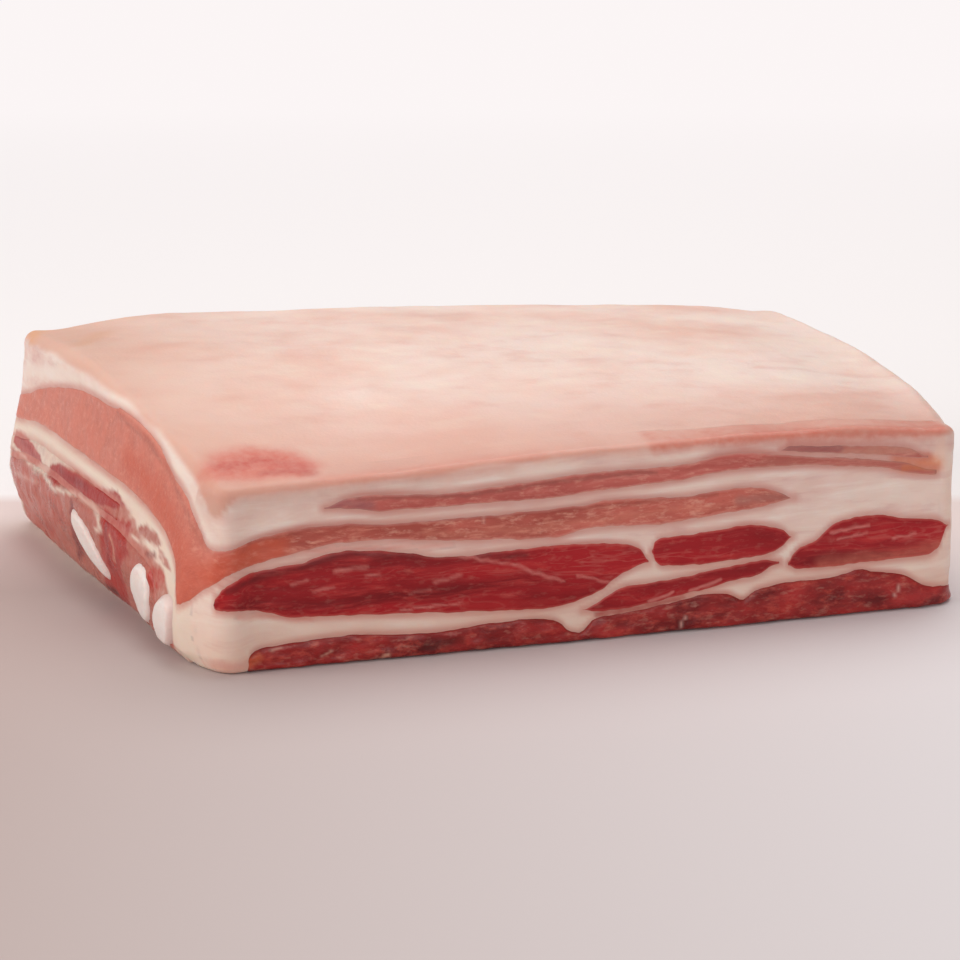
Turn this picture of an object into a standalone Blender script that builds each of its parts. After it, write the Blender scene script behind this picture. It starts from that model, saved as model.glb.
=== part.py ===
"""Raw pork belly slab: fat with its skin on top, the lean muscles that run through it from the front
cut to the back cut, and the rib ends that show at the left end.

Metres, +Z up. X runs along the long front cut, from the left end to the right, and Y from the front
cut to the back. The origin is on the floor under the middle of the slab. Shapes are worked out in
millimetres from the slab's front left corner, and `at` places them in metres.
"""

import math

import bmesh
import bpy

MM = 0.001

# The slab's plan, in mm from the front left corner: its corners, and how far each side bows out.
FRONT_LENGTH = 227.0
BACK_LEFT = (-37.0, 160.0)
BACK_RIGHT = (226.0, 155.0)
SIDE_BOW = {"front": 1.0, "right": 10.0, "back": 3.0, "left": 3.5}
CORNER_RADIUS = {"front_left": 6.0, "front_right": 6.0, "back_right": 12.0, "back_left": 9.0}

# The slab's height: along the front cut as (x, z), and what it gains towards the back as (x, gain).
FRONT_HEIGHT = [(0, 55), (45, 56), (90, 58.5), (140, 59.5), (190, 59), (227, 56)]
BACK_GAIN = [(-35, 16), (0, 15.5), (40, 13), (80, 9.5), (110, 7), (170, 3.5), (227, 1)]
GAIN_FULL_AT = 120.0
BACK_LEFT_DROOP = 5.0

# Rounded edges, and how far each cut swells out at height z, as (z, swell). The left end's belly
# is tucked in again near the floor, away from the front corner.
TOP_EDGE_RADIUS = {"front": 2.5, "right": 5.5, "back": 8.0, "left": 5.0}
BOTTOM_EDGE_RADIUS = 1.8
FRONT_SWELL = [(0, 1.6), (8, 1.2), (20, 1.2), (31, 0.6), (38, -0.4), (46, 0.2), (60, 0.3)]
LEFT_BELLY = [(0, 5), (6, 9), (15, 10.5), (26, 8.5), (38, 5.5), (50, 2.5), (60, 0.5)]
BELLY_TUCK = 5.5

# The space left between touching solids, and how far a muscle runs on past the slab before it is
# trimmed to it.
GAP = 0.3
OVERRUN = 14.0

# The muscles' upper and lower edges on the front cut, as (x, z).
STREAK_LOWER = (
    [(30.5, 47.9), (36, 50), (42, 50.8), (53, 50.2), (66, 49.2), (77, 50), (95, 51), (113, 52.2), (138, 52.2),
     (151, 54.1), (158, 54.4), (170, 52.8), (183, 51), (196, 49.4), (209, 47.2), (221, 43.9)],
    [(30.5, 47.5), (41, 46.2), (48, 45.1), (95, 45.1), (113, 46.1), (138, 47.4), (157, 49), (176, 48.8),
     (189, 47.5), (202, 45.8), (221, 41.8)],
)
STREAK_UPPER = (
    [(170, 54.2), (173, 55.3), (182, 54.6), (195, 53.5), (205, 52.7), (212, 51.2), (218, 48.6)],
    [(170, 53.9), (176, 52.9), (188, 51.6), (199, 50.2), (209, 48.6), (218, 47.4)],
)
BELT = (
    [(-8, 37), (-2.5, 37.4), (5, 38.6), (17, 41.1), (26, 42.3), (36, 42.4), (50, 41.3), (74, 41.3), (95, 41.6),
     (107, 41.9), (115, 43.1), (140, 42.2), (157, 43.3), (165, 42.6), (170, 40.8), (175, 38.6)],
    [(-8, 22), (-5, 25.7), (-2, 28.3), (1, 30.4), (11, 32.7), (23, 34.7), (36, 36.4), (47, 36.3), (65, 34.6),
     (83, 33.5), (99, 32.8), (106, 34.1), (114, 34.7), (134, 34), (148, 35.2), (165, 36.6), (175, 38.4)],
)
DEEP_1 = (
    [(-4, 21.7), (-1, 26.5), (3.3, 29), (8, 30.3), (23, 31.8), (28, 33.2), (36, 34.2), (44, 33.6), (53, 32.5),
     (68, 29.8), (86, 30.3), (101, 30.5), (114, 30), (121, 29), (126, 27.1), (128.5, 23.5)],
    [(-4, 21), (-2.5, 20.3), (4.4, 19.6), (13.5, 17.2), (22, 15.2), (31, 14.9), (52, 13.6), (82, 11.8),
     (95, 11.3), (102, 11.8), (109, 13.5), (114, 15.6), (117, 18), (121, 20.4), (128.5, 22.6)],
)
DEEP_2 = (
    [(129.6, 26.4), (130.5, 29), (134, 30.2), (142, 30.4), (150, 30.9), (159, 31.8), (165.5, 31), (171, 29.2), (174, 26.8)],
    [(129.6, 25.6), (130.5, 23), (133, 21.2), (142, 20.6), (154, 21), (161, 21.3), (167, 22), (171, 24), (174, 26.4)],
)
DEEP_3 = (
    [(108, 10), (113, 12), (117, 14.4), (121, 15.9), (131, 16.5), (145, 17.9), (153, 19.1), (166, 20.4), (170, 19.4)],
    [(108, 9.4), (113, 8.5), (120, 8.8), (129, 9.8), (138.5, 11.3), (148, 13), (156, 14.6), (162, 15.2), (170, 18.4)],
)
DEEP_4 = (
    [(173, 18.8), (174.5, 21.3), (177, 23.2), (181.5, 24.8), (187.5, 29.3), (192, 30.6), (197, 31.3), (204.5, 30.7),
     (210, 29.4), (221, 28.1), (225.5, 25.6)],
    [(173, 17.6), (175.5, 16.2), (184, 15.9), (197, 16.3), (210, 16.6), (218, 16.6), (222, 18.2), (225.5, 25.2)],
)
BASE_TOP = [
    (4.4, 1.5), (6, 4.2), (9.4, 6.5), (16, 7.4), (37, 8.5), (52, 7.5), (64, 7.1), (82, 8.4), (92, 8.5), (97, 8),
    (101, 6.2), (103.5, 3.6), (107, 2.6), (109, 4.4), (112, 6.9), (120, 7.5), (129, 8.4), (138.5, 9.9), (146, 11),
    (153, 10.8), (158.3, 8.3), (163, 11), (175, 12.5), (187, 12.5), (192, 13.6), (196.5, 14.4), (200.5, 13.3),
    (210, 11.6), (218.5, 7), (227, 5.4), (238, 4.5),
]

# On the left end the belt muscle thickens behind the front corner and arches over the ribs: its
# edges there as (y, z), and how far in they fade to its edges on the front cut, as (y, reach).
BELT_END_TOP = [
    (0, 37.8), (4, 42), (7, 44.8), (16.5, 49.7), (23, 52.6), (29, 56), (36, 58.8), (43, 60.7), (54, 62.4), (65, 63),
    (83, 62.8), (95, 61.8), (113, 58.2), (132, 53), (144, 48.5), (160, 45),
]
BELT_END_BOTTOM = [
    (0, 28), (3.5, 20.6), (6.5, 18.6), (8.5, 22), (10.5, 28), (14.6, 32), (19.3, 35.1), (25, 37.9), (33, 40),
    (41, 41.3), (56, 43), (106, 43.7), (121, 43.3), (131, 42.4), (140, 40.6), (160, 38),
]
BELT_END_REACH_TOP = [(0, 4), (30, 9), (60, 38)]
BELT_END_REACH_BOTTOM = [(0, 4), (30, 9), (60, 60)]

# The ribs lie in the base muscle: each oval's centre (y, z), its half sizes, and its tilt.
RIBS = {
    "rib_1": ((75.0, 18.2), (15.2, 4.7), 37.0),
    "rib_2": ((34.0, 15.4), (10.8, 7.0), 110.0),
    "rib_3": ((18.0, 11.6), (10.4, 5.0), 117.0),
}
RIB_TIP_X = 9.0
RIB_ZONE_X = (20.0, 70.0)
RIB_ZONE_Y = (6.0, 26.0)

# Over the ribs the deep muscles follow the belt's lower edge, this far below it.
DEEP_1_BELOW_BELT = (5.8, 10.8)
BASE_BELOW_BELT = 12.8

# How finely the solids are faceted.
OUTLINE_STEPS = {"front": 20, "right": 11, "back": 17, "left": 14}
BACK = BACK_LEFT[1] + OVERRUN
STRAP_Y = (-OVERRUN, -0.5, 3.5, 7.0, 13.0, 21.0, 32.0, 44.0, 54.0, 64.0, 84.0, 112.0, 138.0, BACK)
LOBE_Y = (-OVERRUN, 36.0, 110.0, BACK)
RIB_STEPS = 14


def blend(low, high, s):
    """0 below low, 1 above high, and a smooth step between."""
    s = min(1.0, max(0.0, (s - low) / (high - low)))
    return s * s * (3 - 2 * s)


def along(stations, s):
    """The value at s of a smooth curve through (place, value) stations, which doesn't overshoot."""
    if s <= stations[0][0]:
        return stations[0][1]
    if s >= stations[-1][0]:
        return stations[-1][1]
    k = next(i for i in range(1, len(stations)) if s <= stations[i][0])
    (x0, y0), (x1, y1) = stations[k - 1], stations[k]

    def slope(i):
        if i in (0, len(stations) - 1):
            return 0.0
        before = (stations[i][1] - stations[i - 1][1]) / (stations[i][0] - stations[i - 1][0])
        after = (stations[i + 1][1] - stations[i][1]) / (stations[i + 1][0] - stations[i][0])
        return 0.0 if before * after <= 0 else 2 * before * after / (before + after)

    width = x1 - x0
    p = (s - x0) / width
    rise = y1 - y0
    start, end = slope(k - 1) * width, slope(k) * width
    return y0 + start * p + (3 * rise - 2 * start - end) * p**2 + (start + end - 2 * rise) * p**3


def height(x, y):
    """The slab's height over the point (x, y) of its plan."""
    gain = along(BACK_GAIN, x) * math.sin(0.5 * math.pi * min(1.0, max(0.0, y) / GAIN_FULL_AT))
    droop = BACK_LEFT_DROOP * blend(95, 165, y) * (1 - blend(-40, 15, x))
    return along(FRONT_HEIGHT, x) + gain - droop


def plan_outline():
    """The plan's outline, anticlockwise from the front left, as (x, y, normal x, normal y, weights).

    The weights say how much of each side's profile a point takes, so that profiles blend at corners.
    """
    corners = [(0.0, 0.0), (FRONT_LENGTH, 0.0), BACK_RIGHT, BACK_LEFT]
    sides = list(SIDE_BOW)
    radii = list(CORNER_RADIUS.values())
    points = []
    for i, side in enumerate(sides):
        (ax, ay), (bx, by) = corners[i], corners[(i + 1) % 4]
        length = math.hypot(bx - ax, by - ay)
        dx, dy = (bx - ax) / length, (by - ay) / length
        for k in range(OUTLINE_STEPS[side]):
            s = (k + 0.5) / OUTLINE_STEPS[side]
            s -= 0.35 * math.sin(2 * math.pi * s) / (2 * math.pi)
            done, left = s * length, (1 - s) * length
            fall = 0.0
            for near, radius in ((done, radii[i]), (left, radii[(i + 1) % 4])):
                if near < radius:
                    fall += radius - math.sqrt(radius**2 - (radius - near) ** 2)
            push = SIDE_BOW[side] * 4 * s * (1 - s) - 0.6 * fall
            share = 0.5 + 0.5 * blend(0.0, 12.0, left) * blend(0.0, 12.0, done)
            weights = {name: 0.0 for name in sides}
            weights[side] = share
            weights[sides[i - 1] if done < left else sides[(i + 1) % 4]] = 1 - share
            points.append((ax + dx * done + dy * push, ay + dy * done - dx * push, weights))
    outline = []
    for k, (x, y, weights) in enumerate(points):
        (px, py, _), (nx, ny, _) = points[k - 1], points[(k + 1) % len(points)]
        size = math.hypot(nx - px, ny - py)
        outline.append((x, y, (ny - py) / size, -(nx - px) / size, weights))
    return outline


def slab_rings():
    """The slab's outside as rings of (x, y, z), from the floor to the middle of its top."""
    outline = plan_outline()

    def ring(inset, level):
        made = []
        for x, y, nx, ny, weights in outline:
            edge = sum(TOP_EDGE_RADIUS[side] * weight for side, weight in weights.items())
            z = level(height(x, y), edge)
            tuck = BELLY_TUCK * blend(10, 60, y) * (1 - blend(8, 30, z))
            out = weights["left"] * (along(LEFT_BELLY, z) - tuck)
            out += weights["front"] * along(FRONT_SWELL, z) - inset(edge)
            made.append((x + nx * out, y + ny * out, z))
        return made

    low = BOTTOM_EDGE_RADIUS
    rings = [ring(lambda edge: low, lambda top, edge: 0.0)]
    rings.append(ring(lambda edge: 0.3 * low, lambda top, edge: 0.3 * low))
    rings.append(ring(lambda edge: 0.0, lambda top, edge: low))
    for share in (0.2, 0.4, 0.6, 0.8, 1.0):
        rings.append(ring(lambda edge: 0.0, lambda top, edge: low + share * (top - edge - low)))
    for degrees in (30, 60, 90):
        sine, cosine = math.sin(math.radians(degrees)), math.cos(math.radians(degrees))
        rings.append(ring(lambda edge: edge * (1 - cosine), lambda top, edge: top - edge * (1 - sine)))
    middle = (0.5 * FRONT_LENGTH - 8, 0.5 * BACK_LEFT[1])
    rim = rings[-1]
    for share in (0.2, 0.5, 0.8):
        inner = [(x + share * (middle[0] - x), y + share * (middle[1] - y)) for x, y, _ in rim]
        rings.append([(x, y, height(x, y)) for x, y in inner])
    return rings


def centre_of(rings):
    """The middle of the slab's box in plan, which becomes the origin."""
    xs = [x for ring in rings for x, _, _ in ring]
    ys = [y for ring in rings for _, y, _ in ring]
    return (min(xs) + max(xs)) / 2, (min(ys) + max(ys)) / 2


def at(point):
    """A point in mm from the front left corner, in metres from the origin."""
    x, y, z = point
    return (x - CENTRE[0]) * MM, (y - CENTRE[1]) * MM, z * MM


def finish(obj, colour, roughness):
    """Gives the object its own Principled material."""
    material = bpy.data.materials.new(obj.name)
    material.use_nodes = True
    shader = material.node_tree.nodes["Principled BSDF"]
    shader.inputs["Base Color"].default_value = (*colour, 1.0)
    shader.inputs["Roughness"].default_value = roughness
    shader.inputs["Metallic"].default_value = 0.0
    material.diffuse_color = (*colour, 1.0)
    obj.data.materials.append(material)


def solid(name, rings):
    """An object made of rings of points bridged one to the next, with both ends filled."""
    mesh = bpy.data.meshes.new(name)
    bm = bmesh.new()
    loops = [[bm.verts.new(at(point)) for point in ring] for ring in rings]
    count = len(rings[0])
    for lower, upper in zip(loops, loops[1:]):
        for k in range(count):
            after = (k + 1) % count
            bm.faces.new((lower[k], lower[after], upper[after], upper[k]))
    bm.faces.new(list(reversed(loops[0])))
    bm.faces.new(loops[-1])
    bmesh.ops.remove_doubles(bm, verts=bm.verts, dist=0.00002)
    bmesh.ops.triangulate(bm, faces=bm.faces)
    bmesh.ops.recalc_face_normals(bm, faces=bm.faces)
    bm.to_mesh(mesh)
    bm.free()
    mesh.shade_smooth()
    mesh.set_sharp_from_angle(angle=math.radians(35))
    obj = bpy.data.objects.new(name, mesh)
    bpy.context.scene.collection.objects.link(obj)
    return obj


def boolean(obj, other, operation):
    """Cuts obj by other, or trims it to other."""
    cut = obj.modifiers.new(operation.lower() + "_" + other.name, "BOOLEAN")
    cut.operation = operation
    cut.object = other
    cut.solver = "EXACT"
    other.hide_render = True
    other.display_type = "WIRE"


def plan_x(u, y):
    """The x, at depth y, of the line that runs back through the slab from u on the front cut."""
    left = BACK_LEFT[0] * y / BACK_LEFT[1]
    right = FRONT_LENGTH + (BACK_RIGHT[0] - FRONT_LENGTH) * y / BACK_RIGHT[1]
    return left + u * (right - left) / FRONT_LENGTH


def rib_zone(u, y):
    """1 over the ribs, and 0 at the front cut and past the ribs' tips."""
    return (1 - blend(*RIB_ZONE_X, plan_x(u, y))) * blend(*RIB_ZONE_Y, y)


def belt_edges(u, y):
    """Upper and lower height of the belt muscle."""
    top, bottom = along(BELT[0], u), along(BELT[1], u)
    behind = blend(-1, 6, y)
    top += behind * (1 - blend(0, along(BELT_END_REACH_TOP, y), u)) * (along(BELT_END_TOP, y) - top)
    bottom += behind * (1 - blend(0, along(BELT_END_REACH_BOTTOM, y), u)) * (along(BELT_END_BOTTOM, y) - bottom)
    return top, bottom


def deep_1_edges(u, y):
    """Upper and lower height of the large deep muscle, which thins where it passes over the ribs."""
    top, bottom = along(DEEP_1[0], u), along(DEEP_1[1], u)
    zone = rib_zone(u, y)
    belt = belt_edges(u, y)[1]
    upper, lower = DEEP_1_BELOW_BELT
    return top + zone * (belt - upper - top), bottom + zone * (belt - lower - bottom)


def deep_1_start(y):
    """It stops short of the left end behind the front corner, and shows again over the ribs."""
    return -5.0 + 23.0 * blend(-1.5, 8, y) - 12.0 * blend(26, 40, y) - 31.0 * blend(44, 60, y)


def base_edges(u, y):
    """Upper and lower height of the base muscle, which lies on the floor and holds the ribs."""
    top = along(BASE_TOP, u)
    return top + rib_zone(u, y) * (belt_edges(u, y)[1] - BASE_BELOW_BELT - top), -OVERRUN


def base_start(y):
    """A corner of fat lies in front of it at the left end."""
    return 5.0 - 30.0 * blend(5, 16, y)


def lobe(edges):
    """The same edges, start and end all the way back, for a muscle that doesn't change with y."""
    top, bottom = edges
    return lambda u, y: (along(top, u), along(bottom, u)), lambda y: top[0][0], lambda y: top[-1][0]


def strap(name, form, y_stations, steps, grow=0.0):
    """A muscle that runs through the slab, as closed cross-sections from the front to the back.

    The form gives its upper and lower height at (u, y), and the u where it starts and ends at y. It
    is carried up with the slab where the slab grows higher than its front cut.
    """
    edges, start, end = form
    rings = []
    for y in y_stations:
        inside = min(max(y, 0.0), BACK_LEFT[1])
        first, last = start(inside), end(inside)
        upper, lower = [], []
        for k in range(steps + 1):
            s = k / steps
            u = first + (last - first) * (s - 0.6 * math.sin(2 * math.pi * s) / (2 * math.pi))
            x = plan_x(u, inside)
            top, bottom = edges(u, inside)
            lift = (height(x, inside) / along(FRONT_HEIGHT, u) - 1) * (1 - rib_zone(u, inside))
            top, bottom = top * (1 + lift), bottom * (1 + lift)
            x += grow * ((k == steps) - (k == 0))
            upper.append((x, y, max(top, bottom + 0.2) + grow))
            lower.append((x, y, bottom - grow))
        rings.append(upper + lower[::-1])
    return solid(name, rings)


def rib(name, shape, grow=0.0):
    """A rib: an oval rod from past the left end to a rounded tip inside the slab."""
    (cy, cz), (half_long, half_short), tilt = shape
    cosine, sine = math.cos(math.radians(tilt)), math.sin(math.radians(tilt))
    sections = [(-60.0, 1.0), (RIB_TIP_X - 12, 1.0), (RIB_TIP_X - 5, 0.86), (RIB_TIP_X - 1, 0.55)]
    sections.append((RIB_TIP_X + grow, 0.2))
    rings = []
    for x, share in sections:
        ring = []
        for k in range(RIB_STEPS):
            angle = 2 * math.pi * k / RIB_STEPS
            a = (half_long + grow) * share * math.cos(angle)
            b = (half_short + grow) * share * math.sin(angle)
            ring.append((x, cy + a * cosine - b * sine, max(cz + a * sine + b * cosine, 1.6 - grow)))
        rings.append(ring)
    return solid(name, rings)


# Each muscle's form, y stations, steps across, and colour.
PALE, DEEP, DARK = (0.52, 0.19, 0.14), (0.34, 0.03, 0.035), (0.25, 0.035, 0.03)
MUSCLES = {
    "streak_lower": (lobe(STREAK_LOWER), LOBE_Y, 20, PALE),
    "streak_upper": (lobe(STREAK_UPPER), LOBE_Y, 10, PALE),
    "belt": ((belt_edges, lambda y: -25.0, lambda y: 175.0), STRAP_Y, 20, PALE),
    "deep_1": ((deep_1_edges, deep_1_start, lambda y: 128.5), STRAP_Y, 18, DEEP),
    "deep_2": (lobe(DEEP_2), LOBE_Y, 12, DEEP),
    "deep_3": (lobe(DEEP_3), LOBE_Y, 12, DEEP),
    "deep_4": (lobe(DEEP_4), LOBE_Y, 12, DEEP),
    "base": ((base_edges, base_start, lambda y: 250.0), STRAP_Y, 24, DARK),
}

for old in list(bpy.data.objects):
    bpy.data.objects.remove(old)

RINGS = slab_rings()
CENTRE = centre_of(RINGS)

# The whole slab's outside, which every piece is trimmed to, and the fat that fills it.
slab = solid("slab_guide", RINGS)
fat = solid("fat", RINGS)
finish(fat, (0.80, 0.60, 0.51), 0.45)

# The ribs, and the slightly larger forms that cut their places.
rib_cutters = []
for name, shape in RIBS.items():
    bone = rib(name, shape)
    finish(bone, (0.84, 0.74, 0.68), 0.4)
    boolean(bone, slab, "INTERSECT")
    rib_cutters.append(rib(name + "_cutter", shape, grow=GAP))

# The muscles, each trimmed to the slab, and their places cut through the fat.
for name, (form, y_stations, steps, colour) in MUSCLES.items():
    muscle = strap(name, form, y_stations, steps)
    finish(muscle, colour, 0.38)
    boolean(muscle, slab, "INTERSECT")
    boolean(fat, strap(name + "_cutter", form, y_stations, steps, grow=GAP), "DIFFERENCE")
    if name == "base":
        for cutter in rib_cutters:
            boolean(muscle, cutter, "DIFFERENCE")
for cutter in rib_cutters:
    boolean(fat, cutter, "DIFFERENCE")
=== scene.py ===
import math

import bmesh
import bpy
import numpy as np
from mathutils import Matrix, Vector, noise


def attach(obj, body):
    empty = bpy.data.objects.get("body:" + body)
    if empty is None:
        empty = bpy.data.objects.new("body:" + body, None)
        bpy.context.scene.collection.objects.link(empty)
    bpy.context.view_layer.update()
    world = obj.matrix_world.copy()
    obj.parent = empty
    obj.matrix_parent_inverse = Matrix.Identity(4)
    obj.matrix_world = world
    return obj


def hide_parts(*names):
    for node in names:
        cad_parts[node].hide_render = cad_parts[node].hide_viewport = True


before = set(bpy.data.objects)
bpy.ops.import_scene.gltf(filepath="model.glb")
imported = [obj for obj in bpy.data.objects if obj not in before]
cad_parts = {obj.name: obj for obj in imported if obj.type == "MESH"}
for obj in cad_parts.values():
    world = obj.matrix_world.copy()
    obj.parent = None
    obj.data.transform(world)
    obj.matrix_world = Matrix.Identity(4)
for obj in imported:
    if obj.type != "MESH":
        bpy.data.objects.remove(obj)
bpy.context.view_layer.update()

# Camera
# The slab is seen from a little left of its long front cut and 17 degrees above the table.
# Places are in mm from the slab's front left corner, and `at` puts them in the frame.
CENTRE = (96.643, 78.845)


def at(x, y, z):
    return Vector(((x - CENTRE[0]) * 0.001, (y - CENTRE[1]) * 0.001, z * 0.001))


turn, rise = math.radians(-15.54), math.radians(17.0)
view_back = Vector((math.sin(turn) * math.cos(rise), -math.cos(turn) * math.cos(rise), math.sin(rise)))
lens = bpy.data.cameras.new("camera")
lens.sensor_width = 36.0
lens.lens = 3074.9 / 960 * 36
lens.shift_x = -(513.21 - 480) / 960
lens.shift_y = (472.25 - 480) / 960
camera = bpy.data.objects.new("camera", lens)
camera.location = at(110, 82.5, 27.5) + view_back * 0.990
camera.rotation_euler = view_back.to_track_quat("Z", "Y").to_euler()
bpy.context.scene.collection.objects.link(camera)
bpy.context.scene.camera = camera
bpy.context.scene.view_settings.view_transform = "Standard"

# Table and light
# A pale matt table that turns into a bright backdrop behind the slab, and large soft lights: one
# overhead from the back right, a weaker one on the left end and one at the front.
AHEAD = (-math.sin(turn), math.cos(turn), 0.0)
ASIDE = (math.cos(turn), math.sin(turn), 0.0)


def tone(red, green, blue):
    """A colour as it is read off a screen, for the shader's sockets."""
    def straight(value):
        value /= 255
        return value / 12.92 if value <= 0.04045 else ((value + 0.055) / 1.055) ** 2.4
    return straight(red), straight(green), straight(blue), 1.0


def pen(tree):
    """A short way to add a node to the tree, with its values and wires."""
    def add(kind, values=(), **settings):
        node = tree.nodes.new("ShaderNode" + kind)
        for key, value in settings.items():
            setattr(node, key, value)
        for key, value in dict(values).items():
            if isinstance(value, bpy.types.NodeSocket):
                tree.links.new(value, node.inputs[key])
            else:
                node.inputs[key].default_value = value
        return node

    return add


def ramp(add, value, low, high, start=0.0, end=1.0):
    """A value that runs from start to end while the one that comes in runs from low to high."""
    ends = {"Value": value, "From Min": low, "From Max": high, "To Min": start, "To Max": end}
    return add("MapRange", ends).outputs[0]


def mix(add, share, first, second):
    """The first colour, covered by the second as far as share says."""
    return add("Mix", {0: share, 6: first, 7: second}, data_type="RGBA").outputs[2]


bpy.ops.object.select_all(action="DESELECT")
bpy.ops.mesh.primitive_plane_add(size=1.0)
table = bpy.context.active_object
table.name = "table_top"
for corner in table.data.vertices:
    corner.co = (4.0 * corner.co.x, 3.0 if corner.co.y > 0 else -1.5, -0.0002)
table.data.materials.append(bpy.data.materials.new("table_top"))
table.data.materials[0].use_nodes = True
tree = table.data.materials[0].node_tree
add = pen(tree)
place = add("TexCoord").outputs["Object"]
ahead = add("VectorMath", {0: place, 1: AHEAD}, operation="DOT_PRODUCT").outputs["Value"]
aside = add("VectorMath", {0: place, 1: ASIDE}, operation="DOT_PRODUCT").outputs["Value"]
# Painted shade and light in the table's colour: darker on the left and lighter on the right, then lighter
# from about the slab's middle backwards, over the slab's shadow beside its left end.
board_with_painted_light = mix(add, ramp(add, aside, -0.15, 0.16), tone(194, 175, 170), tone(234, 228, 230))
board_with_painted_light = mix(add, ramp(add, ahead, -0.03, 0.05, 0.0, 0.8), board_with_painted_light, tone(244, 226, 222))
board_with_painted_light = mix(add, ramp(add, ahead, 0.062, 0.072), board_with_painted_light, tone(254, 250, 250))
# Painted light: further back the table glows, so that it stays as bright as the backdrop where the lamps'
# light falls off.
far = ramp(add, ahead, 0.15, 0.8)
shader = tree.nodes["Principled BSDF"]
tree.links.new(mix(add, far, board_with_painted_light, (0, 0, 0, 1)), shader.inputs["Base Color"])
tree.links.new(mix(add, far, (0, 0, 0, 1), tone(250, 244, 244)), shader.inputs["Emission Color"])
shader.inputs["Emission Strength"].default_value = 1.0
shader.inputs["Roughness"].default_value = 0.8
shader.inputs["Specular IOR Level"].default_value = 0.1

world = bpy.data.worlds.new("studio")
world.use_nodes = True
bpy.context.scene.world = world
sky = world.node_tree
around = sky.nodes["Background"]
around.inputs["Color"].default_value = (1.0, 0.97, 0.96, 1.0)
around.inputs["Strength"].default_value = 0.30
seen = sky.nodes.new("ShaderNodeBackground")
seen.inputs["Color"].default_value = tone(250, 244, 244)
seen.inputs["Strength"].default_value = 1.0
path = sky.nodes.new("ShaderNodeLightPath")
choose = sky.nodes.new("ShaderNodeMixShader")
sky.links.new(path.outputs["Is Camera Ray"], choose.inputs[0])
sky.links.new(around.outputs[0], choose.inputs[1])
sky.links.new(seen.outputs[0], choose.inputs[2])
sky.links.new(choose.outputs[0], sky.nodes["World Output"].inputs["Surface"])

for name, spot, size, power, colour in (
    ("overhead", (0.22, 0.38, 1.15), 1.3, 9.4, (1.0, 0.985, 0.97)),
    ("left_end", (-1.10, -0.15, 0.50), 0.8, 5.8, (1.0, 0.98, 0.96)),
    ("front", (-0.10, -1.30, 0.55), 0.9, 4.1, (1.0, 0.97, 0.95)),
):
    soft = bpy.data.lights.new(name, "AREA")
    soft.shape = "DISK"
    soft.size = size
    soft.energy = power
    soft.color = colour
    lamp = bpy.data.objects.new(name, soft)
    lamp.location = spot
    lamp.rotation_euler = Vector(spot).to_track_quat("Z", "Y").to_euler()
    bpy.context.scene.collection.objects.link(lamp)

# Fat with the skin on top
# One block of firm pork fat, sawn to a slab, with the scraped skin on top. Its four cut sides show
# smooth pinkish fat, greyer under the skin, partly from painted shade, and creamier near the bones.
CORNERS = [(0.0, 0.0), (227.0, 0.0), (226.0, 155.0), (-37.0, 160.0)]
LEFT_SLANT = 0.231
SIDES = ["front", "right", "back", "left"]
SIDE_BOW = {"front": 1.0, "right": 10.0, "back": 3.0, "left": 3.5}
CORNER_CUT = [4.4, 4.4, 8.5, 6.5]
FRONT_HEIGHT = [(0, 55), (45, 56), (90, 58.5), (140, 59.5), (190, 59), (227, 56)]
BACK_GAIN = [(-35, 16), (0, 15.5), (40, 13), (80, 9.5), (110, 7), (170, 3.5), (227, 1)]
TOP_EDGE = {"front": 2.5, "right": 5.5, "back": 8.0, "left": 5.0}
FRONT_SWELL = [(0, 1.6), (8, 1.2), (20, 1.2), (31, 0.6), (38, -0.4), (46, 0.2), (60, 0.3)]
LEFT_BELLY = [(0, 5), (6, 9), (15, 10.5), (26, 8.5), (38, 5.5), (50, 2.5), (60, 0.5)]


def blend(low, high, s):
    """0 below low, 1 above high, and a smooth step between."""
    s = min(1.0, max(0.0, (s - low) / (high - low)))
    return s * s * (3 - 2 * s)


def along(stations, s):
    """The value at s of a smooth curve through (place, value) stations, which doesn't overshoot."""
    if s <= stations[0][0]:
        return stations[0][1]
    if s >= stations[-1][0]:
        return stations[-1][1]
    k = next(i for i in range(1, len(stations)) if s <= stations[i][0])
    (x0, y0), (x1, y1) = stations[k - 1], stations[k]

    def slope(i):
        if i in (0, len(stations) - 1):
            return 0.0
        before = (stations[i][1] - stations[i - 1][1]) / (stations[i][0] - stations[i - 1][0])
        after = (stations[i + 1][1] - stations[i][1]) / (stations[i + 1][0] - stations[i][0])
        return 0.0 if before * after <= 0 else 2 * before * after / (before + after)

    width = x1 - x0
    p = (s - x0) / width
    climb = y1 - y0
    start, end = slope(k - 1) * width, slope(k) * width
    return y0 + start * p + (3 * climb - 2 * start - end) * p**2 + (start + end - 2 * climb) * p**3


def slab_height(x, y):
    """How high the slab stands over a point of its plan, before the skin's small waves."""
    gain = along(BACK_GAIN, x) * math.sin(0.5 * math.pi * min(1.0, max(0.0, y) / 120.0))
    droop = 5.0 * blend(95, 165, y) * (1 - blend(-40, 15, x))
    return along(FRONT_HEIGHT, x) + gain - droop


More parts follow.
